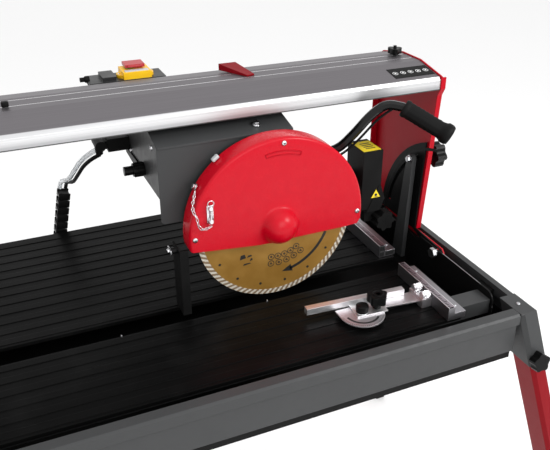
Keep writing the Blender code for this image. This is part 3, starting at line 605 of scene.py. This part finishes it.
def band(radius, width, start, end, steps):
    """The outline of a curved strip."""
    return (arc((0, 0), radius + width / 2, start, end, steps)
            + arc((0, 0), radius - width / 2, end, start, steps))


def rectangle(half_width, half_height):
    """The outline of a rectangle about the origin."""
    w, h = half_width, half_height
    return [(-w, -h), (w, -h), (w, h), (-w, h)]


def wire(name, points, radius, material, body, closed=False):
    """A thin round wire, cable or chain link."""
    curve = bpy.data.curves.new(name, "CURVE")
    curve.dimensions = "3D"
    curve.bevel_depth = radius
    curve.bevel_resolution = 2
    curve.use_fill_caps = not closed
    spline = curve.splines.new("POLY" if closed else "NURBS")
    spline.points.add(len(points) - 1)
    for target, point in zip(spline.points, points):
        target.co = (*point, 1)
    spline.use_cyclic_u = closed
    spline.use_endpoint_u = True
    spline.order_u = 3
    curve.materials.append(look(material))
    piece = bpy.data.objects.new(name, curve)
    bpy.context.scene.collection.objects.link(piece)
    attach(piece, body)
    return piece


def hex_bolt(origin, direction, radius, height):
    """A hexagon head on a washer."""
    place = frame_along(origin, direction)
    washer = lathed([(radius * 1.25, 0), (radius * 1.25, height * 0.18),
                     (radius * 1.1, height * 0.22)], place, 24)
    top = place @ Matrix.Translation((0, 0, height * 0.2))
    head = lathed([(radius, 0), (radius, height * 0.72), (radius * 0.86, height * 0.8)], top, 6)
    return merged(washer, head)


def pan_screw(origin, direction, radius):
    """A domed screw head."""
    profile = [(radius, 0), (radius * 0.97, radius * 0.28), (radius * 0.78, radius * 0.5),
               (radius * 0.45, radius * 0.6), (0.0002, radius * 0.62)]
    return lathed(profile, frame_along(origin, direction), 20)


def cross_recess(origin, direction, radius):
    """The dark cross on a screw head, painted shade in its recess."""
    place = frame_along(origin + Vector(direction).normalized() * radius * 0.60, direction)
    outline = rectangle(radius * 0.55, radius * 0.12)
    bars = [extruded(outline, place @ Matrix.Rotation(angle, 4, "Z"), radius * 0.06)
            for angle in (0, math.pi / 2)]
    return merged(*bars)


# The stage

def make_camera():
    """The view from the front left, looking down."""
    down, right = 26.39, 23.17
    camera = bpy.data.objects.new("camera", bpy.data.cameras.new("camera"))
    bpy.context.scene.collection.objects.link(camera)
    camera.data.sensor_width = 36
    camera.data.lens = 46.58
    camera.data.shift_y = -0.0427
    camera.data.clip_start = 0.05
    camera.location = at(-447.5, -1041.0, 602.3)
    camera.rotation_euler = (math.radians(90 - down), 0, math.radians(-right))
    bpy.context.scene.camera = camera


def make_stage():
    """Pale floor, white surroundings and soft light."""
    bm = bmesh.new()
    bmesh.ops.create_grid(bm, x_segments=2, y_segments=2, size=40.0)
    mesh = bpy.data.meshes.new("floor")
    bm.to_mesh(mesh)
    bm.free()
    floor = bpy.data.objects.new("floor", mesh)
    bpy.context.scene.collection.objects.link(floor)
    mesh.materials.append(floor_paper())
    world = bpy.data.worlds.new("studio")
    world.use_nodes = True
    background = world.node_tree.nodes["Background"]
    background.inputs[0].default_value = (1.0, 1.0, 1.0, 1)
    background.inputs[1].default_value = 0.95
    bpy.context.scene.world = world
    bpy.context.scene.view_settings.view_transform = "Standard"
    for name, place, size, power in (("front", (0.4, -3.2, 2.2), 2.0, 34),
                                     ("right", (2.2, -2.0, 2.8), 0.9, 52),
                                     ("above", (0.2, -0.3, 4.2), 3.0, 14)):
        light = bpy.data.lights.new(name, "AREA")
        light.size = size
        light.energy = power
        lamp = bpy.data.objects.new(name, light)
        lamp.location = Vector(place)
        lamp.rotation_euler = (BLADE - lamp.location).to_track_quat("-Z", "Y").to_euler()
        bpy.context.scene.collection.objects.link(lamp)


# The guard and blade

def guard_shell():
    """The guard with a rolled front edge and a pressed dome, cut off along its lower edge."""
    profile = [(0.0001, 45.0), (8, 44.6), (15, 42.8), (22, 38.8), (28, 32.6), (32, 26.0),
               (34.5, 21.0), (37, 18.9), (41, 18.0), (70, 18.0), (110, 18.0), (150, 18.0),
               (161.5, 18.0), (163.6, 17.5), (165.4, 16.2), (166.6, 14.2), (167, 12.0),
               (167, -22), (164.5, -22), (164.5, 11.5), (163.8, 13.4), (162.2, 15.0),
               (160, 15.5), (110, 15.5), (70, 15.5), (42, 15.5), (36, 16.2), (32, 20.0),
               (26, 29.5), (20, 36.0), (13, 40.4), (0.0001, 42.5)]
    place = frame_along(BLADE, (0, -1, 0))
    shell = lathed([(r / 1000, h / 1000) for r, h in profile], place, 120)
    edge = [(-0.200, -0.0155), (-0.166, -0.0165), (-0.163, -0.0190), (-0.036, -0.0310),
            (0.135, -0.0290), (0.157, -0.0275), (0.163, -0.0190), (0.200, -0.0180)]
    lower = [(-0.200, -0.25), *edge, (0.200, -0.25)]
    spot = Matrix.Translation(BLADE + Vector((0, 0.06, 0))) @ FRONTWARD
    cutter = plain(extruded(lower, spot, 0.16), "guard_cutter")
    piece = shown(shell, "guard_shell", "red", "carriage", 40)
    change = piece.modifiers.new("lower_edge", "BOOLEAN")
    change.operation = "DIFFERENCE"
    change.object = cutter
    change.solver = "EXACT"
    bake(piece)
    bpy.data.objects.remove(cutter)
    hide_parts("blade_guard")


def plain(bm, name):
    """A helper object that is removed after use."""
    bmesh.ops.recalc_face_normals(bm, faces=bm.faces)
    mesh = bpy.data.meshes.new(name)
    bm.to_mesh(mesh)
    bm.free()
    made = bpy.data.objects.new(name, mesh)
    bpy.context.scene.collection.objects.link(made)
    return made


def bake(piece):
    """Apply a piece's modifiers to its mesh."""
    bpy.context.view_layer.update()
    evaluated = piece.evaluated_get(bpy.context.evaluated_depsgraph_get())
    mesh = bpy.data.meshes.new_from_object(evaluated)
    piece.modifiers.clear()
    piece.data = mesh
    mesh.set_sharp_from_angle(angle=math.radians(40))


def guard_details():
    """The guard's pressed rib as two darker red lines of painted shade, its screws, its side bolt
    and its lug.
    """
    face, head = -18.2, 0.0048
    bows = []
    for x, z, length, rise in ((-27, 140, 67, 5), (-25, 134, 63, 4)):
        bows.append([at(x + length * t, face - 0.2, z - 3.5 * t + rise * (1 - (2 * t - 1) ** 2))
                     for t in [i / 12 for i in range(13)]])
    upper, lower = bows
    # Painted shade: the rib is a closed loop of the columns' darker red wire along its pressed
    # edges.
    wire("guard_rib_shade_lines", upper + lower[::-1], 0.0011, "column", "carriage", True)
    spots = [at(x, face, z) for x, z in ((7, 157), (156, -1), (-157, 5))]
    heads = [pan_screw(spot, (0, -1, 0), head) for spot in spots]
    shown(merged(*heads), "guard_screws", "chrome", "carriage")
    # Painted shade: black crosses for the shade in the screws' recesses.
    marks = [cross_recess(spot, (0, -1, 0), head) for spot in spots]
    shown(merged(*marks), "guard_screw_recess_shade", "black_print_and_shade", "carriage")
    side_bolt = hex_bolt(at(-143.5, 12, 90), (-0.85, 0, 0.53), 0.005, 0.006)
    shown(side_bolt, "guard_side_bolts", "chrome", "carriage")
    lug = rounded_box((0.014, 0.010, 0.006), at(-105, 16, 135), 0.002, 3,
                      Matrix.Rotation(math.radians(-38), 3, "Y"))
    shown(lug, "guard_lug", "strip", "carriage")


def guard_latch():
    """The latch on the guard's left edge: a hasp, its pin, and the pin's chain."""
    x, y = -129, -20
    plate = rounded_box((0.012, 0.0016, 0.034), at(x, y + 0.6, 50), 0.0006)
    bosses = [lathed([(0.0045, 0), (0.0045, 0.006), (0.003, 0.0075)],
                     frame_along(at(x, y, z), (0, -1, 0)), 14) for z in (38, 62)]
    pin = lathed([(0.0020, 0), (0.0020, 0.034), (0.0012, 0.036)],
                 frame_along(at(x, y - 5, 34), (0, 0, 1)), 12)
    shown(merged(plate, *bosses, pin), "latch", "chrome", "carriage")
    ring = [at(x + 5.5 * math.cos(a), y - 5, 72 + 5.5 * math.sin(a))
            for a in [2 * math.pi * i / 16 for i in range(16)]]
    wire("latch_ring", ring, 0.0009, "chrome", "carriage", True)
    route = [at(-129, -26, 31), at(-137, -27, 28), at(-147, -27, 28), at(-152, -26, 35),
             at(-154, -24, 50), at(-159, -20, 62), at(-157, -14, 72), at(-151, -6, 84),
             at(-148, -2, 90)]
    for index, (start, end) in enumerate(chain_steps(route, 0.0062)):
        link(f"latch_link_{index}", start, end, index % 2)


def chain_steps(route, pitch):
    """Pairs of points a pitch apart along a route."""
    walked = [route[0]]
    for start, end in zip(route, route[1:]):
        count = max(1, round((end - start).length / pitch))
        walked += [start.lerp(end, (i + 1) / count) for i in range(count)]
    return list(zip(walked, walked[1:]))


def link(name, start, end, turned):
    """One oval chain link between two points."""
    place = frame_along((start + end) / 2, end - start)
    place = place @ Matrix.Rotation(math.pi / 2 * turned, 4, "Z")
    half = (end - start).length * 0.62
    points = [place @ Vector((0.0021 * math.cos(a), 0, half * math.sin(a)))
              for a in [2 * math.pi * i / 12 for i in range(12)]]
    wire(name, points, 0.0007, "chrome", "carriage", True)


def blade_rim():
    """The turbo rim: slanted teeth, thick and thin by turns, round the blade."""
    inside, outside, slant = 0.1405, 0.1499, 0.075
    bm = bmesh.new()
    rings = []
    for i in range(RIM_TEETH * 2):
        thick = 0.00155 if i % 2 else 0.00115
        a = math.pi * i / RIM_TEETH
        ring = []
        for radius, lean, side in ((inside, 0, -1), (outside, slant, -1), (outside, slant, 1),
                                   (inside, 0, 1)):
            angle = a + lean
            ring.append(bm.verts.new(BLADE + Vector((radius * math.cos(angle), side * thick,
                                                     radius * math.sin(angle)))))
        rings.append(ring)
    for i, here in enumerate(rings):
        there = rings[(i + 1) % len(rings)]
        for j in range(4):
            k = (j + 1) % 4
            bm.faces.new((here[j], there[j], there[k], here[k]))
    shown(bm, "blade_rim", "rim", "spindle", 12)


def blade_marks_and_hole_shade():
    """Cooling holes as black discs of painted shade, a direction arrow and plain symbols on the
    blade's front.
    """
    face = Matrix.Translation(BLADE + Vector((0, -0.00112, 0))) @ FRONTWARD
    depth = 0.00012
    outlines = []
    # Painted shade: the cooling holes are not cut but drawn as black discs.
    holes, hole_ring = 16, 0.1275
    for i in range(holes):
        outlines.append(arc(polar(hole_ring, 360 / holes * i + 8), 0.0026, 0, 340, 17))
    outlines.append(band(0.108, 0.0058, 285, 338, 20))
    outlines.append([polar(0.108, 276), polar(0.100, 287), polar(0.116, 287)])
    for row, (radius, start) in enumerate(((0.072, 262), (0.086, 263))):
        for i in range(5):
            centre = polar(radius, start + i * 10.5)
            outlines.append(hoop(centre, 0.0066, 0.0050, 20))
            triangle = (i + row) % 2
            outlines.append(arc(centre, 0.0036, 90, 330, 2) if triangle
                            else arc(centre, 0.0024, 0, 330, 10))
    centre = polar(0.092, 228)
    for dx, dz, w, h in ((-0.010, 0.004, 0.012, 0.010), (0.004, 0.006, 0.010, 0.005),
                         (-0.004, -0.009, 0.016, 0.004), (0.009, -0.002, 0.006, 0.006)):
        x, z = centre[0] + dx, centre[1] + dz
        outlines.append([(x, z), (x + w, z + 0.002), (x + w * 0.8, z + h),
                         (x + 0.002, z + h * 0.9)])
    marks = [extruded(outline, face, depth) for outline in outlines]
    shown(merged(*marks), "blade_marks_and_hole_shade", "black_print_and_shade", "spindle")


# The bridge

def bridge_slope(x, t):
    """A frame on the bridge's front slope: t runs from its front edge (0) to its ridge (1)."""
    low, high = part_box("bridge_rail")
    start = Vector((x, low.y + 0.004, low.z + 0.0255))
    end = Vector((x, low.y + 0.076, high.z))
    up = (end - start).normalized()
    normal = Vector((1, 0, 0)).cross(up)
    turn = Matrix((Vector((1, 0, 0)), up, normal)).transposed().to_4x4()
    return Matrix.Translation(start.lerp(end, t)) @ turn


def bridge_details():
    """Bright strips of painted highlight in the grooves, the pictogram panel and the end stops."""
    low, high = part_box("bridge_rail")
    # Painted highlight: bright metal strips laid in the two grooves stand for the light they catch.
    strips = [rounded_box((high.x - low.x - 0.002, 0.0034, 0.0012),
                          (0, low.y + offset, high.z - 0.0009), 0.0003, 1)
              for offset in (0.0995, 0.131)]
    shown(merged(*strips), "groove_highlight_strips", "groove", "bridge")
    thickness = 0.0005
    panel = bridge_slope(at(323, 0, 0).x, 0.44)
    shown(extruded(rectangle(0.044, 0.019), panel, thickness), "pictogram_panel", "plastic",
          "bridge")
    outlines = []
    for i in range(5):
        centre = (-0.034 + 0.017 * i, 0.0)
        outlines.append(hoop(centre, 0.0056, 0.0046, 18))
        triangle = i % 2
        outlines.append(arc(centre, 0.0032, 90, 330, 2) if triangle
                        else arc(centre, 0.0022, 0, 330, 8))
    above = panel @ Matrix.Translation((0, 0, thickness))
    icons = [extruded(outline, above, 0.0001) for outline in outlines]
    shown(merged(*icons), "pictograms", "white_print", "bridge")
    tabs = []
    for x, y, z, width in ((-416, 152, high.z + 0.006, 0.011), (75, 90, low.z - 0.004, 0.020)):
        place = at(x, y, 0)
        tabs.append(rounded_box((0.012, width, 0.009), (place.x, place.y, z), 0.002))
    shown(merged(*tabs), "bridge_end_stops", "plastic", "bridge")


def column_details():
    """The bolts, the slot's brush, the sector's rib and the tilt stud's nut, at each end."""
    for side, name in SIDES:
        face = side * (outer(f"sector_{name}") + 0.0038)
        bolts = [hex_bolt((face, BLADE.y + y, BLADE.z + z), (side, 0, 0), 0.0055, 0.005)
                 for y, z in ((0.066, 0.196), (0.166, 0.212), (0.258, 0.196))]
        shown(merged(*bolts), f"column_bolts_{name}", "chrome", "bridge")
        brush = band(TILT_RADIUS, 0.0096, REST_ANGLE - 47.7, REST_ANGLE + 2.7, 24)
        spot = Matrix.Translation((face - side * 0.0022, *PIVOT_YZ)) @ SIDEWARD
        shown(extruded(brush, spot, 0.0006), f"slot_brush_{name}", "rubber", "bridge")
        rib = band(0.2135, 0.006, REST_ANGLE - 60, REST_ANGLE + 22, 28)
        spot = Matrix.Translation((face - side * 0.0070, *PIVOT_YZ)) @ SIDEWARD
        shown(extruded(rib, spot, 0.0010), f"sector_rib_{name}", "plate", "bridge")
        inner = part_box(f"tilt_post_{name}")[0 if side > 0 else 1].x
        nut = hex_bolt((inner, *STUD_YZ), (-side, 0, 0), 0.0065, 0.007)
        shown(nut, f"tilt_nut_{name}", "steel", "frame")


# The carriage

def carriage_details():
    """The housing's screws and seam, the lock lever, the cable's boot and the lock knob's ribs."""
    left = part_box("cable_clamp")[1].x + 0.0003
    heads = [pan_screw((left, BLADE.y + y, BLADE.z + z), (-1, 0, 0), 0.0048)
             for y, z in ((0.243, 0.080), (0.066, 0.150))]
    shown(merged(*heads), "housing_screws", "chrome", "carriage")
    bolt = hex_bolt(at(-13, 60, 167.0), (0, -0.22, 1), 0.0062, 0.006)
    shown(bolt, "housing_bolt", "chrome", "carriage")
    seam = rounded_box((0.2465, 0.0012, 0.0045), at(-76, 34.6, 158.2), 0.0005)
    shown(seam, "housing_seam", "grey", "carriage")
    wedge = [(0.1620, 0.0800), (0.1600, 0.0720), (0.190, 0.060), (0.283, 0.062), (0.283, 0.072)]
    spot = Matrix.Translation((left - 0.0032, BLADE.y, BLADE.z)) @ SIDEWARD
    shown(extruded(wedge, spot, 0.0030), "lock_lever", "plastic", "carriage")
    start, end = at(-258, 264, 97), at(-258.5, 263, 70)
    boot = [(0.0098, 0.0)]
    for i in range(6):
        h, r = 0.0022 + 0.0038 * i, 0.0092 - 0.0004 * i
        boot += [(r, h), (r, h + 0.0022), (r - 0.0012, h + 0.0026), (r - 0.0012, h + 0.0036)]
    shown(lathed(boot, frame_along(start, end - start), 20), "cable_boot", "knob", "carriage")
    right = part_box("carriage_lock")[1].x
    centre = middle("carriage_lock")
    ribs = []
    count, radius = 16, 0.0125
    for i in range(count):
        a = 2 * math.pi * i / count
        spot = (right - 0.0100, centre.y + radius * math.cos(a), centre.z + radius * math.sin(a))
        ribs.append(rounded_box((0.017, 0.0018, 0.0018), spot, 0.0004, 1))
    shown(merged(*ribs), "carriage_lock_ribs", "knob", "carriage_lock")


def motor_details():
    """Cooling fins and an end grille."""
    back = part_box("motor")[1].y
    fins = []
    count, radius = 28, 0.0622
    for i in range(count):
        a = 2 * math.pi * i / count + 0.11
        spot = BLADE + Vector((radius * math.cos(a), 0.140, radius * math.sin(a)))
        fins.append(rounded_box((0.0024, 0.120, 0.0022), spot, 0.0006, 1,
                                Matrix.Rotation(-a, 3, "Y")))
    shown(merged(*fins), "motor_fins", "motor", "carriage")
    slots = []
    count, radius = 12, 0.033
    for i in range(count):
        a = 2 * math.pi * i / count
        spot = (BLADE.x + radius * math.cos(a), back + 0.0001, BLADE.z + radius * math.sin(a))
        slots.append(rounded_box((0.022, 0.0012, 0.0042), spot, 0.0005, 1,
                                 Matrix.Rotation(-a, 3, "Y")))
    hub = lathed([(0.013, 0), (0.013, 0.0015), (0.010, 0.0030)],
                 frame_along((BLADE.x, back, BLADE.z), (0, 1, 0)), 24)
    shown(merged(*slots, hub), "motor_grille", "knob", "carriage")


def handle_details():
    """A fluted grip on the handle, and the lead that follows the tube."""
    start, end = at(252, 4, 181), at(313, -54.5, 140)
    place = frame_along(end, end - start)
    length = (end - start).length
    profile = [(0.0100, -length + 0.002), (0.0150, -length + 0.002), (0.0163, -length + 0.004),
               (0.0168, -length + 0.008), (0.0158, -length + 0.011)]
    rows, flutes, flute_depth = 16, 10, 0.035
    for i in range(rows):
        h = -length + 0.013 + (length - 0.026) * i / (rows - 1)
        profile.append((0.0163 if i % 2 else 0.0156, h))
    profile += [(0.0170, -0.009), (0.0193, -0.006), (0.0195, 0.000), (0.0190, 0.004),
                (0.0165, 0.0078), (0.010, 0.0088), (0.0002, 0.0090)]
    bm = lathed(profile, place, 40)
    inverse = place.inverted()
    for vert in bm.verts:
        spot = inverse @ vert.co
        radius = math.hypot(spot.x, spot.y)
        if -length + 0.012 < spot.z < -0.010 and radius > 0.012:
            a = math.atan2(spot.y, spot.x)
            flute = 1 - flute_depth * (0.5 + 0.5 * math.cos(flutes * a))
            vert.co = place @ Vector((spot.x * flute, spot.y * flute, spot.z))
    piece = shown(bm, "grip", "foam", "carriage", 60)
    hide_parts("handle_grip")
    route = [at(102, 62, 53), at(116, 56, 68), at(137, 47, 82), at(158, 40, 94), at(182, 32, 119),
             at(206, 25, 149), at(224, 20, 166), at(238, 14, 176)]
    wire("handle_lead", route, 0.0024, "plastic", "carriage")


def laser_details():
    """The laser unit's nose and its labels."""
    low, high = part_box("laser_unit")
    left, right, front = at(181, 0, 0).x, at(222, 0, 0).x, at(0, 10, 0).y
    centre = (left + right) / 2
    label = rounded_box((0.037, 0.048, 0.0006), (centre, front + 0.028, high.z + 0.0003), 0.0002, 1)
    shown(label, "laser_label_top", "yellow_label", "carriage")
    bars = [rounded_box((0.020, 0.003, 0.0004),
                        (centre + 0.002, front + 0.016 + 0.008 * i, high.z + 0.0007),
                        0.0001, 1) for i in range(4)]
    shown(merged(*bars), "laser_label_bars", "black_print_and_shade", "carriage")
    nose = [(0.012, -0.002), (0.041, -0.002), (0.0505, 0.022), (0.041, 0.050), (0.036, 0.050)]
    place = Matrix.Translation((left, front + 0.010, low.z + 0.048)) @ FRONTWARD
    shown(extruded(nose, place, 0.0112), "laser_nose", "plastic", "carriage")
    face = Matrix.Translation((left + 0.030, front - 0.0013, low.z + 0.081)) @ FRONTWARD
    film = 0.0004
    shown(extruded(arc((0, 0), 0.0110, 90, 330, 2), face, film), "laser_label_front",
          "yellow_label", "carriage")
    mark = face @ Matrix.Translation((0, 0, film))
    shown(merged(extruded(arc((0, 0), 0.0030, 0, 330, 11), mark, 0.0002),
                 extruded([(-0.005, -0.0045), (0.005, -0.0045), (0.005, -0.0036),
                           (-0.005, -0.0036)], mark, 0.0002)),
          "laser_label_mark", "black_print_and_shade", "carriage")


def flap_details():
    """The splash flap's wing bolt."""
    low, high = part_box("splash_flap")
    place = Vector((low.x + 0.003, BLADE.y + 0.006, high.z - 0.005))
    parts = [rounded_box((0.0025, 0.020, 0.010), place + Vector((-0.005, 0, 0)), 0.001),
             lathed([(0.0042, 0), (0.0042, 0.009), (0.0028, 0.010)],
                    frame_along(place, (-1, 0, 0)), 12)]
    shown(merged(*parts), "flap_wing_bolt", "chrome", "flap")


def chain_links():
    """The cable chain as separate links along its run."""
    low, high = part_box("cable_chain")
    x_top = at(-320, 0, 0).x
    bend = Vector((at(-316, 0, 0).x, 0, BLADE.z - 0.147 - 0.045))
    radius, pitch = 0.030, 0.0165
    y = (low.y + high.y) / 2
    path = [Vector((x_top, y, high.z - 0.004)), Vector((bend.x - radius, y, bend.z))]
    for i in range(1, 7):
        a = math.radians(180 + 15 * i)
        path.append(Vector((bend.x + radius * math.cos(a), y, bend.z + radius * math.sin(a))))
    path.append(Vector((high.x - 0.008, y, bend.z - radius)))
    walked = walk(path, pitch)
    links, bars = [], []
    for start, end in zip(walked, walked[1:]):
        along = (end - start).normalized()
        across = along.cross(Vector((0, 1, 0)))
        turn = Matrix((across, Vector((0, 1, 0)), along)).transposed()
        centre = (start + end) / 2
        for side in (-1, 1):
            links.append(rounded_box((0.0245, 0.004, pitch * 0.96),
                                     centre + Vector((0, side * 0.0143, 0)), 0.0015, 2, turn))
        links.append(rounded_box((0.0190, 0.026, pitch * 0.50), centre, 0.0010, 1, turn))
        for side in (-1, 1):
            bars.append(rounded_box((0.0026, 0.031, 0.0052), centre + across * side * 0.0108,
                                    0.0008, 1, turn))
    piece = shown(merged(*links), "chain_links", "plastic", "carriage")
    shown(merged(*bars), "chain_bars", "knob", "carriage")
    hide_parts("cable_chain")


def walk(path, pitch):
    """Points one pitch apart along straight stretches."""
    lengths = [0.0]
    for start, end in zip(path, path[1:]):
        lengths.append(lengths[-1] + (end - start).length)
    count = int(lengths[-1] / pitch)
    found = []
    for i in range(count + 1):
        target = lengths[-1] * i / count
        k = max(j for j in range(len(path) - 1) if lengths[j] <= target + 1e-9)
        t = (target - lengths[k]) / (lengths[k + 1] - lengths[k])
        found.append(path[k].lerp(path[k + 1], t))
    return found


def switch_details():
    """The switch's strip, screws and cable gland, and its flap's lip."""
    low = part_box("switch_body")[0]
    centre = middle("switch_cover")
    strip = rounded_box((0.046, 0.0120, 0.0022), (centre.x, low.y + 0.0105, low.z + 0.0187), 0.0008)
    shown(strip, "switch_strip", "strip", "carriage")
    screws = [pan_screw((centre.x + side * 0.0315, low.y + 0.0275, low.z + 0.0105),
                        (0, 0, 1), 0.0026) for side in (-1, 1)]
    shown(merged(*screws), "switch_screws", "chrome", "carriage")
    gland = lathed([(0.0065, 0), (0.0065, 0.008), (0.0045, 0.010), (0.0045, 0.018)],
                   frame_along((low.x + 0.004, low.y + 0.030, low.z + 0.006), (-1, 0, 0)),
                   14)
    shown(gland, "switch_gland", "plastic", "carriage")
    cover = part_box("switch_cover")[0]
    lip = rounded_box((0.030, 0.0035, 0.0042), (centre.x, cover.y - 0.0010, cover.z + 0.003), 0.001)
    shown(lip, "cover_lip", "cover", "cover")


# The table and the stand

def side_plate_edges():
    """A bright steel line along the top edge of each side plate."""
    for side, name in SIDES:
        low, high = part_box(f"side_plate_{name}")
        x, z = side * 0.6551, high.z + 0.0002
        corner = ((0.0006, -0.030), (0.0010, -0.016), (0.007, -0.006), (0.018, 0.0))
        route = [(x, low.y + y, z + dz) for y, dz in corner] + [(x, BLADE.y - 0.020, z)]
        wire(f"side_plate_edge_{name}", route, 0.0009, "steel", "frame")


def socket_details():
    """A screw on each corner plate and a cap on each foot."""
    for name in CORNERS:
        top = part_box(f"leg_socket_{name}")[1].z
        side = 1 if "right" in name else -1
        toward = -1 if "front" in name else 1
        y = (at(0, -247, 0).y + 0.030) if toward < 0 else (at(0, 393, 0).y - 0.030)
        head = pan_screw((side * 0.683, y, top), (0, 0, 1), 0.0042)
        shown(head, f"socket_screw_{name}", "steel", "frame")
        foot_cap(name, side, toward)


def foot_cap(name, side, toward):
    """A rubber cap on the foot of a leg."""
    x, y = outer(f"leg_{name}"), outer(f"leg_{name}", 1)
    width, depth, height = 0.0293, 0.0548, 0.045
    lean_x, lean_y = 0.235, 0.200
    rings = []
    bm = bmesh.new()
    for z, grow in ((0.0, -0.0002), (0.006, 0.0010), (height - 0.002, 0.0010), (height, 0.0004)):
        out_x, out_y = x - lean_x * z + grow, y - lean_y * z + grow
        in_x, in_y = out_x - width - 2 * grow, out_y - depth - 2 * grow
        outline = [(out_x, out_y), (in_x, out_y), (in_x, in_y), (out_x, in_y)]
        rings.append([bm.verts.new((side * cx, toward * cy, z)) for cx, cy in outline])
    shown(lofted(bm, rings), f"foot_cap_{name}", "rubber", "frame")


def table_details():
    """Pins at the blade's slot, the tray's drain plug, and the rules' screws and end cells, the
    cells drawn as black sheets of painted shade.
    """
    pins = [lathed([(0.0016, 0), (0.0016, 0.010), (0.0010, 0.0115)],
                   frame_along(at(x, -28.6, -155), (0, 0, 1)), 10) for x in (-300, -560, -30)]
    shown(merged(*pins), "table_pins", "steel", "frame")
    low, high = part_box("water_tray")
    plug = lathed([(0.016, 0), (0.016, -0.006), (0.011, -0.008), (0.011, -0.016)],
                  frame_along((low.x + 0.10, high.y - 0.10, low.z), (0, 0, 1)), 20)
    shown(plug, "drain_plug", "knob", "frame")
    for name in ("front_rule", "rear_rule"):
        low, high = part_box(name)
        heads = [pan_screw((low.x + 0.028, y, low.z + 0.0130), (0, 0, 1), 0.0032)
                 for y in (low.y + 0.020, high.y - 0.020)]
        shown(merged(*heads), f"{name}_screws", "steel", "frame")
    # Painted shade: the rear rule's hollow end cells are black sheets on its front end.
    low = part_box("rear_rule")[0]
    holes = [rounded_box((w, 0.0006, h), (low.x + x, low.y, low.z + z), 0.0002, 1)
             for x, z, w, h in ((0.0065, 0.0195, 0.0095, 0.0105), (0.0065, 0.0068, 0.0095, 0.0100),
                                (0.0250, 0.0068, 0.0200, 0.0095))]
    shown(merged(*holes), "rule_cells_shade", "black_print_and_shade", "frame")


def stop_details():
    """The protractor's slot as a black sheet of painted shade, the pivot's cap, the knob's crown and
    the thumb screws' knurls.
    """
    # Painted shade: the slot is a thin black sheet on the protractor, not cut.
    place = Matrix.Translation((PIVOT.x, PIVOT.y, at(0, 0, -136.5).z))
    shown(extruded(band(0.0300, 0.0040, 185, 318, 24), place, 0.0002), "protractor_slot_shade",
          "black_print_and_shade", "angle_stop")
    place = Matrix.Translation((PIVOT.x, PIVOT.y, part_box("stop_bar")[1].z))
    cap = lathed([(0.0112, -0.0115), (0.0116, -0.0030), (0.0114, 0.0003), (0.0100, 0.0010),
                  (0.0060, 0.0015), (0.0002, 0.0017)], place, 24)
    shown(cap, "pivot_cap", "knob", "stop_bar")
    centre = middle("stop_knob")
    place = Matrix.Translation((centre.x, centre.y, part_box("stop_knob")[1].z))
    crown = lathed([(0.0105, -0.001), (0.0105, 0.0006), (0.0085, 0.0010), (0.0080, 0.0002),
                    (0.0040, 0.0000), (0.0002, 0.0000)], place, 24)
    shown(crown, "stop_knob_crown", "knob", "stop_knob")
    ribs = []
    count, radius = 18, 0.0068
    for y in (0.017, -0.010):
        for i in range(count):
            a = 2 * math.pi * i / count
            spot = (at(231, 0, 0).x, PIVOT.y + y + radius * math.cos(a),
                    at(0, 0, -124.5).z + radius * math.sin(a))
            ribs.append(rounded_box((0.013, 0.0009, 0.0009), spot, 0.0002, 1))
    shown(merged(*ribs), "thumb_screw_knurl", "chrome", "angle_stop")


make_camera()
make_stage()
dress_cad()
guard_shell()
guard_details()
guard_latch()
blade_rim()
blade_marks_and_hole_shade()
bridge_details()
column_details()
carriage_details()
motor_details()
handle_details()
laser_details()
flap_details()
chain_links()
switch_details()
side_plate_edges()
socket_details()
table_details()
stop_details()
